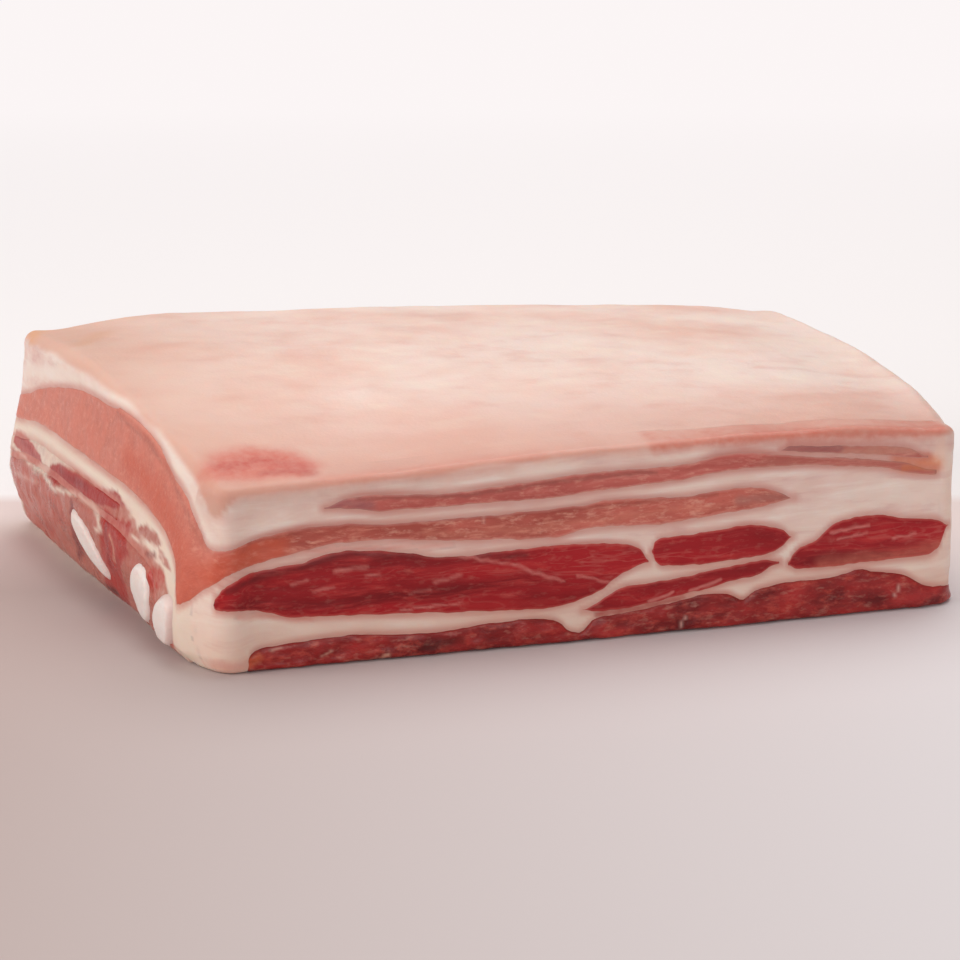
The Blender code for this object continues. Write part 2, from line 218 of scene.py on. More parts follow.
def plan_sides():
    """Each side of the slab's plan, from the middle of one rounded corner to the middle of the next."""
    straight, bends = [], []
    for i, side in enumerate(SIDES):
        (ax, ay), (bx, by) = CORNERS[i], CORNERS[(i + 1) % 4]
        length = math.hypot(bx - ax, by - ay)
        dx, dy = (bx - ax) / length, (by - ay) / length
        run = []
        for k in range(91):
            s = CORNER_CUT[i] / length + k / 90 * (1 - (CORNER_CUT[i] + CORNER_CUT[(i + 1) % 4]) / length)
            push = SIDE_BOW[side] * 4 * s * (1 - s)
            run.append((ax + dx * s * length + dy * push, ay + dy * s * length - dx * push))
        straight.append(run)
    for i in range(4):
        p0, p1, p2 = straight[i - 1][-1], CORNERS[i], straight[i][0]
        bend = []
        for k in range(17):
            t = k / 16
            bend.append(tuple((1 - t) ** 2 * p0[n] + 2 * t * (1 - t) * p1[n] + t * t * p2[n] for n in (0, 1)))
        bends.append(bend)
    sides = {}
    for i, side in enumerate(SIDES):
        run = bends[i][8:] + straight[i][1:] + bends[(i + 1) % 4][1:9]
        before, after = bends[i][7], bends[(i + 1) % 4][9]
        full = [before] + run + [after]
        rows, length = [], 0.0
        for k in range(1, len(full) - 1):
            (px, py), (qx, qy) = full[k - 1], full[k + 1]
            size = math.hypot(qx - px, qy - py)
            if k > 1:
                length += math.dist(full[k - 1], full[k])
            rows.append([length, full[k][0], full[k][1], (qy - py) / size, -(qx - px) / size])
        sides[side] = np.array(rows)
    return sides


PLAN = plan_sides()


def outline(side, share):
    """A place on the plan's outline: x, y, the way out, and how much of each side's profile it takes."""
    rows = PLAN[side]
    whole = rows[-1, 0]
    done = share * whole
    x, y, nx, ny = (float(np.interp(done, rows[:, 0], rows[:, n])) for n in (1, 2, 3, 4))
    size = math.hypot(nx, ny)
    own = 0.5 + 0.5 * blend(0, 10, done) * blend(0, 10, whole - done)
    k = SIDES.index(side)
    other = SIDES[k - 1] if done < whole / 2 else SIDES[(k + 1) % 4]
    return x, y, nx / size, ny / size, {side: own, other: 1 - own}


def cut_relief(x, y, z):
    """The small unevenness of a knife cut, in mm, shared by the fat and the lean in it."""
    wide = noise.noise(Vector((x * 0.035, y * 0.035, z * 0.09)))
    fine = noise.noise(Vector((x * 0.13 + 9, y * 0.13, z * 0.33)))
    return 0.42 * wide + 0.16 * fine


def wall(spot, z, out=0.0):
    """The point of a cut side at height z, over a place of the outline, pushed out by so many mm."""
    x, y, nx, ny, part = spot
    tuck = 5.5 * blend(10, 60, y) * (1 - blend(8, 30, z))
    swell = part.get("left", 0.0) * (along(LEFT_BELLY, z) - tuck)
    swell += part.get("front", 0.0) * along(FRONT_SWELL, z)
    swell += cut_relief(x, y, z) + out
    return x + nx * swell, y + ny * swell


def skin_relief(x, y):
    """The soft waves and shallow dents of the skin, in mm."""
    wide = noise.noise(Vector((x * 0.018, y * 0.024, 3.0)))
    mid = noise.noise(Vector((x * 0.06, y * 0.075, 7.0)))
    fine = noise.noise(Vector((x * 0.20, y * 0.22, 1.0)))
    return 0.75 * wide + 0.28 * mid + 0.09 * fine


def block(name, counts):
    """A cube from 0 to 1 cut into a lattice: each axis is divided by its factors in turn."""
    bpy.ops.object.select_all(action="DESELECT")
    bpy.ops.mesh.primitive_cube_add(size=1.0, location=(0.5, 0.5, 0.5))
    piece = bpy.context.active_object
    bpy.ops.object.transform_apply(location=True)
    piece.name = piece.data.name = name
    for axis, factors in enumerate(counts):
        for factor in factors:
            ends = np.empty(len(piece.data.edges) * 2, np.int32)
            piece.data.edges.foreach_get("vertices", ends)
            co = np.empty(len(piece.data.vertices) * 3, np.float32)
            piece.data.vertices.foreach_get("co", co)
            span = np.abs(np.diff(co.reshape(-1, 3)[ends.reshape(-1, 2)], axis=1))[:, 0, axis]
            bpy.ops.object.mode_set(mode="EDIT")
            bpy.ops.mesh.select_mode(type="EDGE")
            bpy.ops.mesh.select_all(action="DESELECT")
            bpy.ops.object.mode_set(mode="OBJECT")
            piece.data.edges.foreach_set("select", span > 1e-5)
            bpy.ops.object.mode_set(mode="EDIT")
            bpy.ops.mesh.subdivide(number_cuts=factor - 1)
            bpy.ops.object.mode_set(mode="OBJECT")
    return piece


def lattice_places(piece):
    """Each vertex's place in the cube, from 0 to 1."""
    co = np.empty(len(piece.data.vertices) * 3, np.float32)
    piece.data.vertices.foreach_get("co", co)
    return np.round(co.reshape(-1, 3).astype(float), 5)


def side_of(a, b):
    """Which side of the plan a lattice place is on, and how far along it, or None inside."""
    if b <= 0:
        return "front", a
    if a >= 1:
        return "right", b
    if b >= 1:
        return "back", 1 - a
    if a <= 0:
        return "left", 1 - b
    return None


def inside(a, b, front, back, left, right):
    """The point of the plan that the four edges carry to a and b."""
    point = []
    for n in (0, 1):
        value = (1 - b) * front[n](a) + b * back[n](a) + (1 - a) * left[n](b) + a * right[n](b)
        starts = (1 - b) * front[n](0) + b * back[n](0)
        ends = (1 - b) * front[n](1) + b * back[n](1)
        point.append(value - ((1 - a) * starts + a * ends))
    return point


def flatten_hidden(piece, picked):
    """Joins the picked faces, which nothing shows, into one face."""
    bpy.ops.object.select_all(action="DESELECT")
    piece.select_set(True)
    bpy.context.view_layer.objects.active = piece
    bpy.ops.object.mode_set(mode="EDIT")
    bpy.ops.mesh.select_mode(type="FACE")
    bpy.ops.mesh.select_all(action="DESELECT")
    bpy.ops.object.mode_set(mode="OBJECT")
    piece.data.polygons.foreach_set("select", picked)
    bpy.ops.object.mode_set(mode="EDIT")
    bpy.ops.mesh.dissolve_faces()
    bpy.ops.object.mode_set(mode="OBJECT")


def near_line(points, line):
    """Each point's distance from a line of points, in mm."""
    best = np.full(len(points), 1e9)
    for start, end in zip(line, line[1:]):
        start, end = np.array(start, float), np.array(end, float)
        way = end - start
        share = np.clip(((points - start) @ way) / max(way @ way, 1e-9), 0, 1)
        best = np.minimum(best, np.linalg.norm(points - start - share[:, None] * way, axis=1))
    return best


def soft_step(low, high, values):
    """What blend does, for a whole array."""
    share = np.clip((values - low) / (high - low), 0, 1)
    return share * share * (3 - 2 * share)


def within(points, line):
    """Which points lie inside a closed line."""
    found = np.zeros(len(points), bool)
    for (ax, ay), (bx, by) in zip(line, line[1:]):
        if ay == by:
            continue
        crossed = (points[:, 1] < ay) != (points[:, 1] < by)
        found ^= crossed & (points[:, 0] < ax + (points[:, 1] - ay) * (bx - ax) / (by - ay))
    return found


def stained(piece, places, marks, skin=0.0):
    """Lays soft marks on the piece, as colour and cover: (view, line, half width, fade, colour, cover).

    A mark is drawn on the front cut in (x, z), on the left end in (y, z) or on the skin in (x, y).
    A line that ends where it starts is filled.
    """
    wobble = np.array([noise.noise_vector(Vector(p) * 0.35) for p in places])
    moved = places + 0.55 * wobble
    wide = np.array([noise.noise_vector(Vector(p) * 0.09) for p in places])
    behind_left_end = places[:, 0] + LEFT_SLANT * places[:, 1]
    colour = np.zeros((len(places), 3))
    cover = np.zeros(len(places))
    for view, line, half, fade, paint, share in marks:
        axes, keep = {
            "front": ((0, 2), places[:, 1] < 9),
            "left": ((1, 2), (behind_left_end < 3) * (1 - skin)),
            "skin": ((0, 1), skin),
        }[view]
        drawn = (moved + (wide if fade > 1.5 else 0))[:, axes]
        gap = near_line(drawn, line)
        if line[0] == line[-1]:
            gap = np.where(within(drawn, line), -gap, gap)
        new = share * (1 - soft_step(half - fade / 2, half + fade / 2, gap)) * keep
        kept = cover * (1 - new)
        total = new + kept
        mixed = new[:, None] * np.array(tone(*paint)[:3]) + kept[:, None] * colour
        colour = np.where(total[:, None] > 1e-6, mixed / np.maximum(total, 1e-6)[:, None], colour)
        cover = total
    layer = piece.data.attributes.new("stain", "FLOAT_COLOR", "POINT")
    colour = np.column_stack([colour, np.ones(len(places))])
    layer.data.foreach_set("color", colour.astype(np.float32).ravel())
    marked(piece, "stain_cover", cover)


def marked(piece, name, values):
    """Keeps one number for each vertex on the piece, under a name that its material reads."""
    layer = piece.data.attributes.new(name, "FLOAT", "POINT")
    layer.data.foreach_set("value", np.asarray(values, np.float32))


def settled(piece, places):
    """Puts the vertices at their places, in mm, and shades the piece smooth."""
    co = (places - np.array([CENTRE[0], CENTRE[1], 0.0])) * 0.001
    piece.data.vertices.foreach_set("co", co.astype(np.float32).ravel())
    piece.data.update()
    bpy.ops.object.select_all(action="DESELECT")
    piece.select_set(True)
    bpy.context.view_layer.objects.active = piece
    bpy.ops.object.shade_smooth()


# Its sides have 80 rows: 4 round the lower edge off, and the upper 12 round over to the skin.
ROWS, LOW_ROWS, HIGH_ROWS = 80, 4, 12
LOW_EDGE = 1.8
fat = block("fat_and_skin", ((10, 19), (10, 16), (8, 10)))
grid = lattice_places(fat)
spots = {}
places = np.zeros_like(grid)
depth = np.zeros(len(grid))


def rounding(part):
    """How far the skin rounds over a side: less at the slab's tight corners, where it would fold."""
    return sum(TOP_EDGE[s] * w for s, w in part.items()) * (1 - 0.8 * (1 - max(part.values())))


def rim(side, share):
    """The inner edge of the skin's rounding over a place of the outline."""
    spot = outline(side, share)
    return wall(spot, slab_height(spot[0], spot[1]), -rounding(spot[4]))


RIM = {side: np.array([rim(side, k / 120) for k in range(121)]) for side in SIDES}


def rim_edge(side, back_to_front, n):
    """The rim's x or y along one side, as a function of how far along the lattice."""
    shares = np.linspace(0, 1, 121)
    return lambda s: float(np.interp(1 - s if back_to_front else s, shares, RIM[side][:, n]))


RUNS = (("front", 0), ("back", 1), ("left", 1), ("right", 0))
EDGES = [[rim_edge(side, flip, n) for n in (0, 1)] for side, flip in RUNS]


def underside(x, y):
    """The height of the fat's underside, which touches the floor only near the front left corner."""
    return 1.3 * blend(7, 14, math.hypot(x, y))


for i, (a, b, c) in enumerate(grid):
    held = side_of(a, b)
    if held:
        if held not in spots:
            spots[held] = outline(*held)
        spot = spots[held]
        x, y = spot[:2]
        edge = rounding(spot[4])
        top = slab_height(x, y)
        lowest = underside(x, y)
        row = c * ROWS
        drop = None
        if row <= LOW_ROWS:
            angle = math.radians(90 * row / LOW_ROWS)
            z, inset = lowest + LOW_EDGE * (1 - math.cos(angle)), LOW_EDGE * (1 - math.sin(angle))
        elif row <= ROWS - HIGH_ROWS:
            share = (row - LOW_ROWS) / (ROWS - HIGH_ROWS - LOW_ROWS)
            z, inset = lowest + LOW_EDGE + share * (top - edge - lowest - LOW_EDGE), 0.0
        else:
            angle = math.radians(90 * (row - ROWS + HIGH_ROWS) / HIGH_ROWS)
            drop, inset = edge * (1 - math.sin(angle)), edge * (1 - math.cos(angle))
            z = top - drop
        fx, fy = wall(spot, z, -inset)
        if drop is not None:
            z = slab_height(fx, fy) - drop
        z += skin_relief(fx, fy) * blend(0.6, 1.0, c)
        places[i] = fx, fy, z
        depth[i] = slab_height(x, y) - z
    else:
        x, y = inside(a, b, *EDGES)
        if c > 0.5:
            places[i] = x, y, slab_height(x, y) + skin_relief(x, y)
        else:
            places[i] = x, y, underside(x, y)

settled(fat, places)

# The skin runs a little over the edge of each cut, and lower on the left end, to the belt muscle.
SKIN_ON_LEFT = [
    (-1, 42), (2, 46), (5.4, 51), (18, 56.4), (34, 61), (52, 64.3), (92, 67.4), (141, 65), (160, 62),
]
skin = np.zeros(len(grid))
for i, (x, y, z) in enumerate(places):
    wander = 0.9 * noise.noise(Vector((x * 0.07, y * 0.07, 5.0)))
    limit = 1.6 + wander
    if x < 12 and y < 150:
        left_limit = slab_height(x, y) - along(SKIN_ON_LEFT, y) + wander
        limit += (1 - blend(0, 12, x + 6 + 0.23 * y)) * (left_limit - limit)
    skin[i] = 1 - blend(limit - 0.9, limit + 0.9, depth[i])
marked(fat, "skin", skin)
hidden = []
for face in fat.data.polygons:
    corners = [grid[v] for v in face.vertices]
    inner = 0.02 < min(min(a, 1 - a, b, 1 - b) for a, b, _ in corners)
    hidden.append(inner and max(c for _, _, c in corners) <= 0)

# The left end is cut across the ribs, where lobes of lean lie in cream fat. Their outlines, as (y, z),
# cross from the fat to the muscles, so all of them carry these marks.
END_FAT = [(2.5, -4), (160, -4), (160, 41), (131, 43.5), (56, 44), (25, 39), (10, 30), (3.5, 22), (2.5, 16)]
LOBES = [
    ([(146, 28), (126.7, 27.5), (111.6, 28.4), (104.5, 26.4), (95, 26.4), (89.7, 23), (87.5, 20.7),
      (102.8, 16.1), (112, 9), (123, 4), (146, 3)], (192, 96, 80), 0.9),
    ([(146, 36), (139, 36.8), (127.5, 35.9), (118.4, 34.7), (116, 32.4), (122.8, 29.9), (130.6, 30.4),
      (146, 31.5)], (184, 80, 74), 0.92),
    ([(108.3, 31.2), (108.8, 33.7), (101.7, 36.3), (93, 36.7), (82.7, 37.2), (73.4, 36.9), (63, 38.2),
      (55.7, 40.2), (51.8, 38.5), (49.8, 37.5), (54.6, 35), (62.5, 34), (70.6, 32.7), (78.7, 32.6),
      (89.8, 31.1), (101.7, 29.8)], (170, 46, 42), 0.95),
    ([(86.3, 29.5), (80, 26.9), (79, 21.9), (80.5, 14.8), (92.2, 6.3), (90.6, 11.6), (88.2, 17.8),
      (85.5, 24.3)], (134, 46, 42), 0.92),
    ([(61.4, 33.3), (52.2, 32.8), (43.9, 33.9), (41, 32.3), (44, 28.9), (39.4, 26), (44.2, 21.3),
      (49.4, 12.2), (54, 1), (76, 1), (72, 4.8), (65.7, 12), (63.7, 18.6), (61, 25)], (178, 48, 40), 0.94),
    ([(38.3, 34.3), (33.6, 35.9), (26.5, 35.2), (21.6, 33.3), (24.4, 31.9), (31, 31.8), (36.9, 32.2)],
     (172, 72, 56), 0.9),
    ([(31, 28.4), (25, 30.2), (22.7, 29.3), (28.5, 27.3)], (138, 50, 42), 0.85),
    ([(23.7, 31.8), (18, 31), (13, 28.3), (16, 28), (21.4, 29.4)], (176, 70, 58), 0.8),
    ([(24.6, 26), (19.3, 26.4), (15.4, 25.1), (18.3, 21.2), (24.5, 18.7), (25.6, 22)], (190, 58, 44), 0.95),
]
END_FLESH = [
    (147, 30), (127, 29), (112, 29.5), (108, 34.5), (98, 37), (83, 38), (70, 37.6), (60, 39.5), (52, 39),
    (44, 36), (36, 32.6), (28, 30), (18, 27.5), (12.5, 22), (10, 10), (12, 1), (50, 1), (80, 1), (110, 4),
    (147, 3),
]
CREAM = (240, 220, 202)
LEFT_END = [
    ("left", [*END_FAT, END_FAT[0]], 0, 1.0, CREAM, 0.92),
    ("left", [*END_FLESH, END_FLESH[0]], 0, 1.6, (184, 90, 74), 0.88),
]
LEFT_END += [("left", [*shape, shape[0]], 0, 0.9, paint, share) for shape, paint, share in LOBES]
LEFT_END += [
    ("left", [(139, 34), (128, 33.4), (120, 32.4)], 0.9, 1.6, (158, 50, 50), 0.6),
    ("left", [(100, 34.4), (88, 34.8), (76, 35)], 0.9, 1.6, (140, 30, 32), 0.6),
    ("left", [(60, 38.6), (53, 38)], 0.8, 1.4, (150, 20, 30), 0.7),
    ("left", [(58, 30), (57, 22), (58, 14)], 1.0, 1.8, (150, 24, 28), 0.7),
    ("left", [(54.3, 26.9), (51.8, 24.5), (52.4, 19.5)], 0.6, 1.2, (230, 170, 146), 0.8),
    ("left", [(143, 22), (130, 24), (118, 26)], 0.8, 1.4, (224, 176, 160), 0.6),
    ("left", [(132, 12), (122, 9.6), (112, 10.6)], 0.8, 1.4, (160, 66, 58), 0.7),
    ("left", [(106, 23), (98, 22), (96, 18)], 1.4, 2.2, (164, 66, 54), 0.6),
    ("left", [(81.6, 31.8), (71.8, 32), (64.7, 30.2), (60.9, 26.6), (64.7, 25.5)], 0.8, 1.1, CREAM, 0.9),
    ("left", [(112, 29.6), (101, 28.4), (91, 30.3), (84, 31.2)], 0.7, 1.1, CREAM, 0.9),
    ("left", [(45, 35.6), (37, 36.6), (28, 36.6), (20, 34), (13.5, 30.4), (10.6, 25)], 0.5, 0.9, CREAM, 0.9),
    ("left", [(41, 30.6), (32, 30.5), (25, 31), (18.5, 29.8)], 0.35, 0.8, CREAM, 0.85),
    # Painted shadow: a near-black spot low on the end, in the gap by the table.
    ("left", [(72, 3.9), (62, 5.3)], 1.2, 1.6, (70, 18, 20), 0.85),
]

MARKS_ON_FAT = [
    *LEFT_END,
    ("left", [(2, 40), (9, 49), (23, 55.6), (43, 61.6), (65, 65), (92, 65), (113, 62.5), (132, 58.5),
              (150, 54)], 2.2, 3, (246, 228, 216), 0.8),
    ("front", [(113, 8), (120, 8.2), (129, 9.1), (139, 10.6)], 1.0, 0.7, (150, 34, 36), 0.95),
    # Below the skin's edge on the front cut the fat is tan-grey: partly its own colour, partly painted shade.
    ("front", [(-3, 50), (6, 51), (30, 52.5), (60, 54)], 3.0, 8, (196, 158, 146), 0.35),
    ("front", [(150, 56), (180, 56), (205, 54), (224, 51)], 3.0, 6, (206, 150, 140), 0.5),
    ("skin", [(-4, 12), (2, 22), (14, 25), (26, 20), (31, 10), (26, 4), (12, 4), (0, 6), (-4, 12)], 0, 9,
     (216, 108, 90), 0.9),
    ("skin", [(4, 14), (14, 16), (26, 9)], 2.4, 6, (200, 80, 66), 0.8),
    ("skin", [(14, 8), (22, 7), (28, 5)], 1.6, 4, (190, 66, 54), 0.7),
    ("skin", [(30, 1), (60, 1.5), (95, 1)], 2.0, 5, (222, 150, 132), 0.7),
    ("skin", [(150, 0.6), (185, 0.4), (224, 2)], 1.6, 4, (206, 122, 104), 0.7),
    ("skin", [(-38, 146), (-31, 158), (-14, 160)], 3.5, 7, (232, 172, 128), 0.75),
    ("skin", [(-22, 120), (-14, 136)], 3, 7, (224, 164, 126), 0.5),
    ("front", [(-4, 52.8), (30, 54.6), (60, 55.2), (95, 57), (135, 58)], 1.4, 4.5, (214, 146, 128), 0.5),
    ("front", [(130, 58.4), (160, 58.2), (185, 57.4), (222, 55.4)], 1.6, 4.0, (212, 116, 96), 0.8),
    ("front", [(208, 47.4), (214, 46.2), (220, 45.6)], 2.8, 3.5, (232, 136, 84), 0.9),
    ("front", [(222, 50), (226, 40), (226, 22)], 2.4, 4, (240, 206, 186), 0.6),
    ("front", [(-2, 3), (3, 2.2), (7, 2.6)], 2.0, 3, (222, 142, 126), 0.55),
    ("front", [(4, 17.8), (15, 16), (26, 14.6)], 0.7, 1.6, (222, 146, 132), 0.6),
    ("front", [(0, 34), (12, 34.8), (32, 35), (52, 34), (68, 33.2)], 0.5, 1.2, (232, 160, 148), 0.6),
]
stained(fat, places, MARKS_ON_FAT, skin)
FAT_GRID, FAT_PLACES = grid, places


def group(name, ins, outs):
    """An empty node group with the named inputs and outputs, and the short way to add its nodes."""
    tree = bpy.data.node_groups.new(name, "ShaderNodeTree")
    for label, kind, value in ins:
        socket = tree.interface.new_socket(label, in_out="INPUT", socket_type="NodeSocket" + kind)
        if value is not None:
            socket.default_value = value
    for label, kind in outs:
        tree.interface.new_socket(label, in_out="OUTPUT", socket_type="NodeSocket" + kind)
    given, wanted = tree.nodes.new("NodeGroupInput"), tree.nodes.new("NodeGroupOutput")
    return tree, pen(tree), given.outputs, wanted.inputs


def stain_group():
    """The soft marks that are laid on a piece, broken up a little, over the colour that comes in."""
    tree, add, given, wanted = group("stain_marks", [("Colour", "Color", None)], [("Colour", "Color")])
    place = add("TexCoord").outputs["Object"]
    grit = add("TexNoise", {"Vector": place, "Scale": 420.0, "Detail": 3.0})
    paint = add("Attribute", attribute_name="stain")
    cover = add("Attribute", attribute_name="stain_cover")
    rough = ramp(add, grit.outputs["Fac"], 0.3, 0.7, 0.72)
    share = add("Math", {0: cover.outputs["Fac"], 1: rough}, operation="MULTIPLY")
    laid = mix(add, share.outputs[0], given["Colour"], paint.outputs["Color"])
    tree.links.new(laid, wanted["Colour"])
    return tree


STAINS = stain_group()


def new_finish(name):
    """A new material, its node tree, the short way to add its nodes, and its Principled shader."""
    material = bpy.data.materials.new(name)
    material.use_nodes = True
    tree = material.node_tree
    return material, tree, pen(tree), tree.nodes["Principled BSDF"]


def fat_finish():
    """Skin on top and firm fat on the cuts, mottled in pink and cream, with fine pores in the skin."""
    material, tree, add, shader = new_finish("fat_and_skin")
    place = add("TexCoord").outputs["Object"]
    drawn = add("Mapping", {"Vector": place, "Scale": (0.55, 1.0, 1.0), "Rotation": (0, 0, math.radians(20))})
    broad = add("TexNoise", {"Vector": drawn.outputs[0], "Scale": 26.0, "Detail": 3.0, "Roughness": 0.55})
    middle = add("TexNoise", {"Vector": drawn.outputs[0], "Scale": 95.0, "Detail": 4.0, "Roughness": 0.6})
    grit = add("TexNoise", {"Vector": place, "Scale": 900.0, "Detail": 2.0})
    long = add("Mapping", {"Vector": place, "Scale": (0.16, 0.3, 1.0)}).outputs[0]
    wavy = {"Scale": 170.0, "Detail": 5.0, "Roughness": 0.6, "Distortion": 0.5}
    layers = add("TexNoise", {"Vector": long, **wavy})
    round_cells = {"Vector": drawn.outputs[0], "Scale": 260.0, "Randomness": 1.0}
    lobules = add("TexVoronoi", round_cells, feature="SMOOTH_F1")
    split = add("SeparateXYZ", {0: place})
    warm = ramp(add, broad.outputs["Fac"], 0.38, 0.66)
    rind = mix(add, warm, tone(253, 224, 213), tone(246, 202, 186))
    cut = mix(add, warm, tone(243, 219, 206), tone(234, 200, 188))
    for value, low, high, most, paint in (
        (middle.outputs["Fac"], 0.50, 0.74, 0.6, (254, 232, 216)),
        (middle.outputs["Fac"], 0.47, 0.28, 0.45, (238, 182, 167)),
        # The skin grows darker and redder towards the front and towards the left.
        (split.outputs[1], -0.020, -0.080, 0.8, (218, 160, 142)),
        (split.outputs[0], -0.045, -0.120, 0.7, (220, 168, 146)),
    ):
        rind = mix(add, ramp(add, value, low, high, 0.0, most), rind, tone(*paint))
    for value, low, high, most, paint in (
        (layers.outputs["Fac"], 0.50, 0.66, 0.7, (250, 235, 225)),
        (layers.outputs["Fac"], 0.46, 0.32, 0.6, (218, 168, 160)),
        (lobules.outputs["Distance"], 0.35, 0.75, 0.22, (252, 240, 230)),
        (split.outputs[2], 0.030, 0.006, 0.5, (238, 206, 184)),
    ):
        cut = mix(add, ramp(add, value, low, high, 0.0, most), cut, tone(*paint))
    skin_mask = add("Attribute", attribute_name="skin")
    stains = add("Group", {}, node_tree=STAINS)
    tree.links.new(mix(add, skin_mask.outputs["Fac"], cut, rind), stains.inputs["Colour"])
    by_lean = add("Attribute", attribute_name="by_lean")
    seep = add("Math", {0: by_lean.outputs["Fac"], 1: layers.outputs["Fac"]}, operation="MULTIPLY")
    soaked = mix(add, seep.outputs[0], stains.outputs["Colour"], tone(206, 120, 106))
    tree.links.new(soaked, shader.inputs["Base Color"])
    rough = ramp(add, middle.outputs["Fac"], 0.3, 0.7, 0.38, 0.55)
    tree.links.new(rough, shader.inputs["Roughness"])
    ridges = add("Math", {0: middle.outputs["Fac"], 1: 0.5}, operation="MULTIPLY")
    high = add("Math", {0: grit.outputs["Fac"], 1: 0.18, 2: ridges.outputs[0]}, operation="MULTIPLY_ADD")
    bump = add("Bump", {"Height": high.outputs[0], "Strength": 0.35, "Distance": 0.0012})
    tree.links.new(bump.outputs[0], shader.inputs["Normal"])
    shader.inputs["Subsurface Weight"].default_value = 0.35
    shader.inputs["Subsurface Radius"].default_value = (1.0, 0.45, 0.3)
    shader.inputs["Subsurface Scale"].default_value = 0.003
    shader.inputs["IOR"].default_value = 1.42
    return material


fat.data.materials.append(fat_finish())
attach(fat, "root")
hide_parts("fat")

# Belt muscle
# The broad belt of pale lean that runs round under the cap fat, from the left end almost to the
# right. It is cut across its grain at the left end and along it at the front. A muscle's edges are
# (x, z) on the front cut, the upper one first, and the belt's on the left end are (y, z).
BELT = (
    [(-8, 37), (-2.5, 37.4), (5, 38.6), (17, 41.1), (26, 42.3), (36, 42.4), (50, 41.3), (74, 41.3),
     (95, 41.6), (107, 41.9), (115, 43.1), (140, 42.2), (157, 43.3), (165, 42.6), (170, 40.8), (175, 38.6)],
    [(-8, 22), (-5, 25.7), (-2, 28.3), (1, 30.4), (11, 32.7), (23, 34.7), (36, 36.4), (47, 36.3),
     (65, 34.6), (83, 33.5), (99, 32.8), (106, 34.1), (114, 34.7), (134, 34), (148, 35.2), (165, 36.6),
     (175, 38.4)],
)
BELT_END_TOP = [
    (0, 37.8), (4, 42), (7, 44.8), (16.5, 49.7), (23, 52.6), (29, 56), (36, 58.8), (43, 60.7), (54, 62.4),
    (65, 63), (83, 62.8), (95, 61.8), (113, 58.2), (132, 53), (144, 48.5), (160, 45),
]
BELT_END_BOTTOM = [
    (0, 28), (3.5, 20.6), (6.5, 18.6), (8.5, 22), (10.5, 28), (14.6, 32), (19.3, 35.1), (25, 37.9), (33, 40),
    (41, 41.3), (56, 43), (106, 43.7), (121, 43.3), (131, 42.4), (140, 40.6), (160, 38),
]
BELT_END_REACH_TOP = [(0, 4), (30, 9), (60, 38)]
BELT_END_REACH_BOTTOM = [(0, 4), (30, 9), (60, 60)]


def plan_ends(y):
    """Where the left and the right cut stand at depth y, before they bow."""
    return -37.0 * y / 160.0, 227.0 - y / 155.0


def plan_x(u, y):
    """The x, at depth y, of the line that runs back through the slab from u on the front cut."""
    left, right = plan_ends(y)
    return left + u * (right - left) / 227.0


def across(x, y):
    """The u on the front cut of the line through (x, y)."""
    left, right = plan_ends(y)
    return (x - left) * 227.0 / (right - left)


def rib_zone(x, y):
    """1 over the ribs, and 0 at the front cut and past the ribs' tips."""
    return (1 - blend(20, 70, x)) * blend(6, 26, y)


def lifted(edges):
    """Carries a muscle up with the slab where the slab grows higher than its front cut."""
    def found(x, y):
        y = min(max(y, 0.0), 160.0)
        u = across(x, y)
        top, bottom = edges(u, x, y)
        lift = 1 + (slab_height(x, y) / along(FRONT_HEIGHT, u) - 1) * (1 - rib_zone(x, y))
        return bottom * lift, max(top * lift, bottom * lift + 0.2)
    return found


def belt_flat(u, x, y):
    """The belt's edges before it is lifted: the front cut's, and towards the left end the end's."""
    top, bottom = along(BELT[0], u), along(BELT[1], u)
    behind = blend(-1, 6, y)
    at_top = 1 - blend(0, along(BELT_END_REACH_TOP, y), u)
    at_bottom = 1 - blend(0, along(BELT_END_REACH_BOTTOM, y), u)
    top += behind * at_top * (along(BELT_END_TOP, y) - top)
    bottom += behind * at_bottom * (along(BELT_END_BOTTOM, y) - bottom)
    return top, bottom


LEAN_SHOWN = []


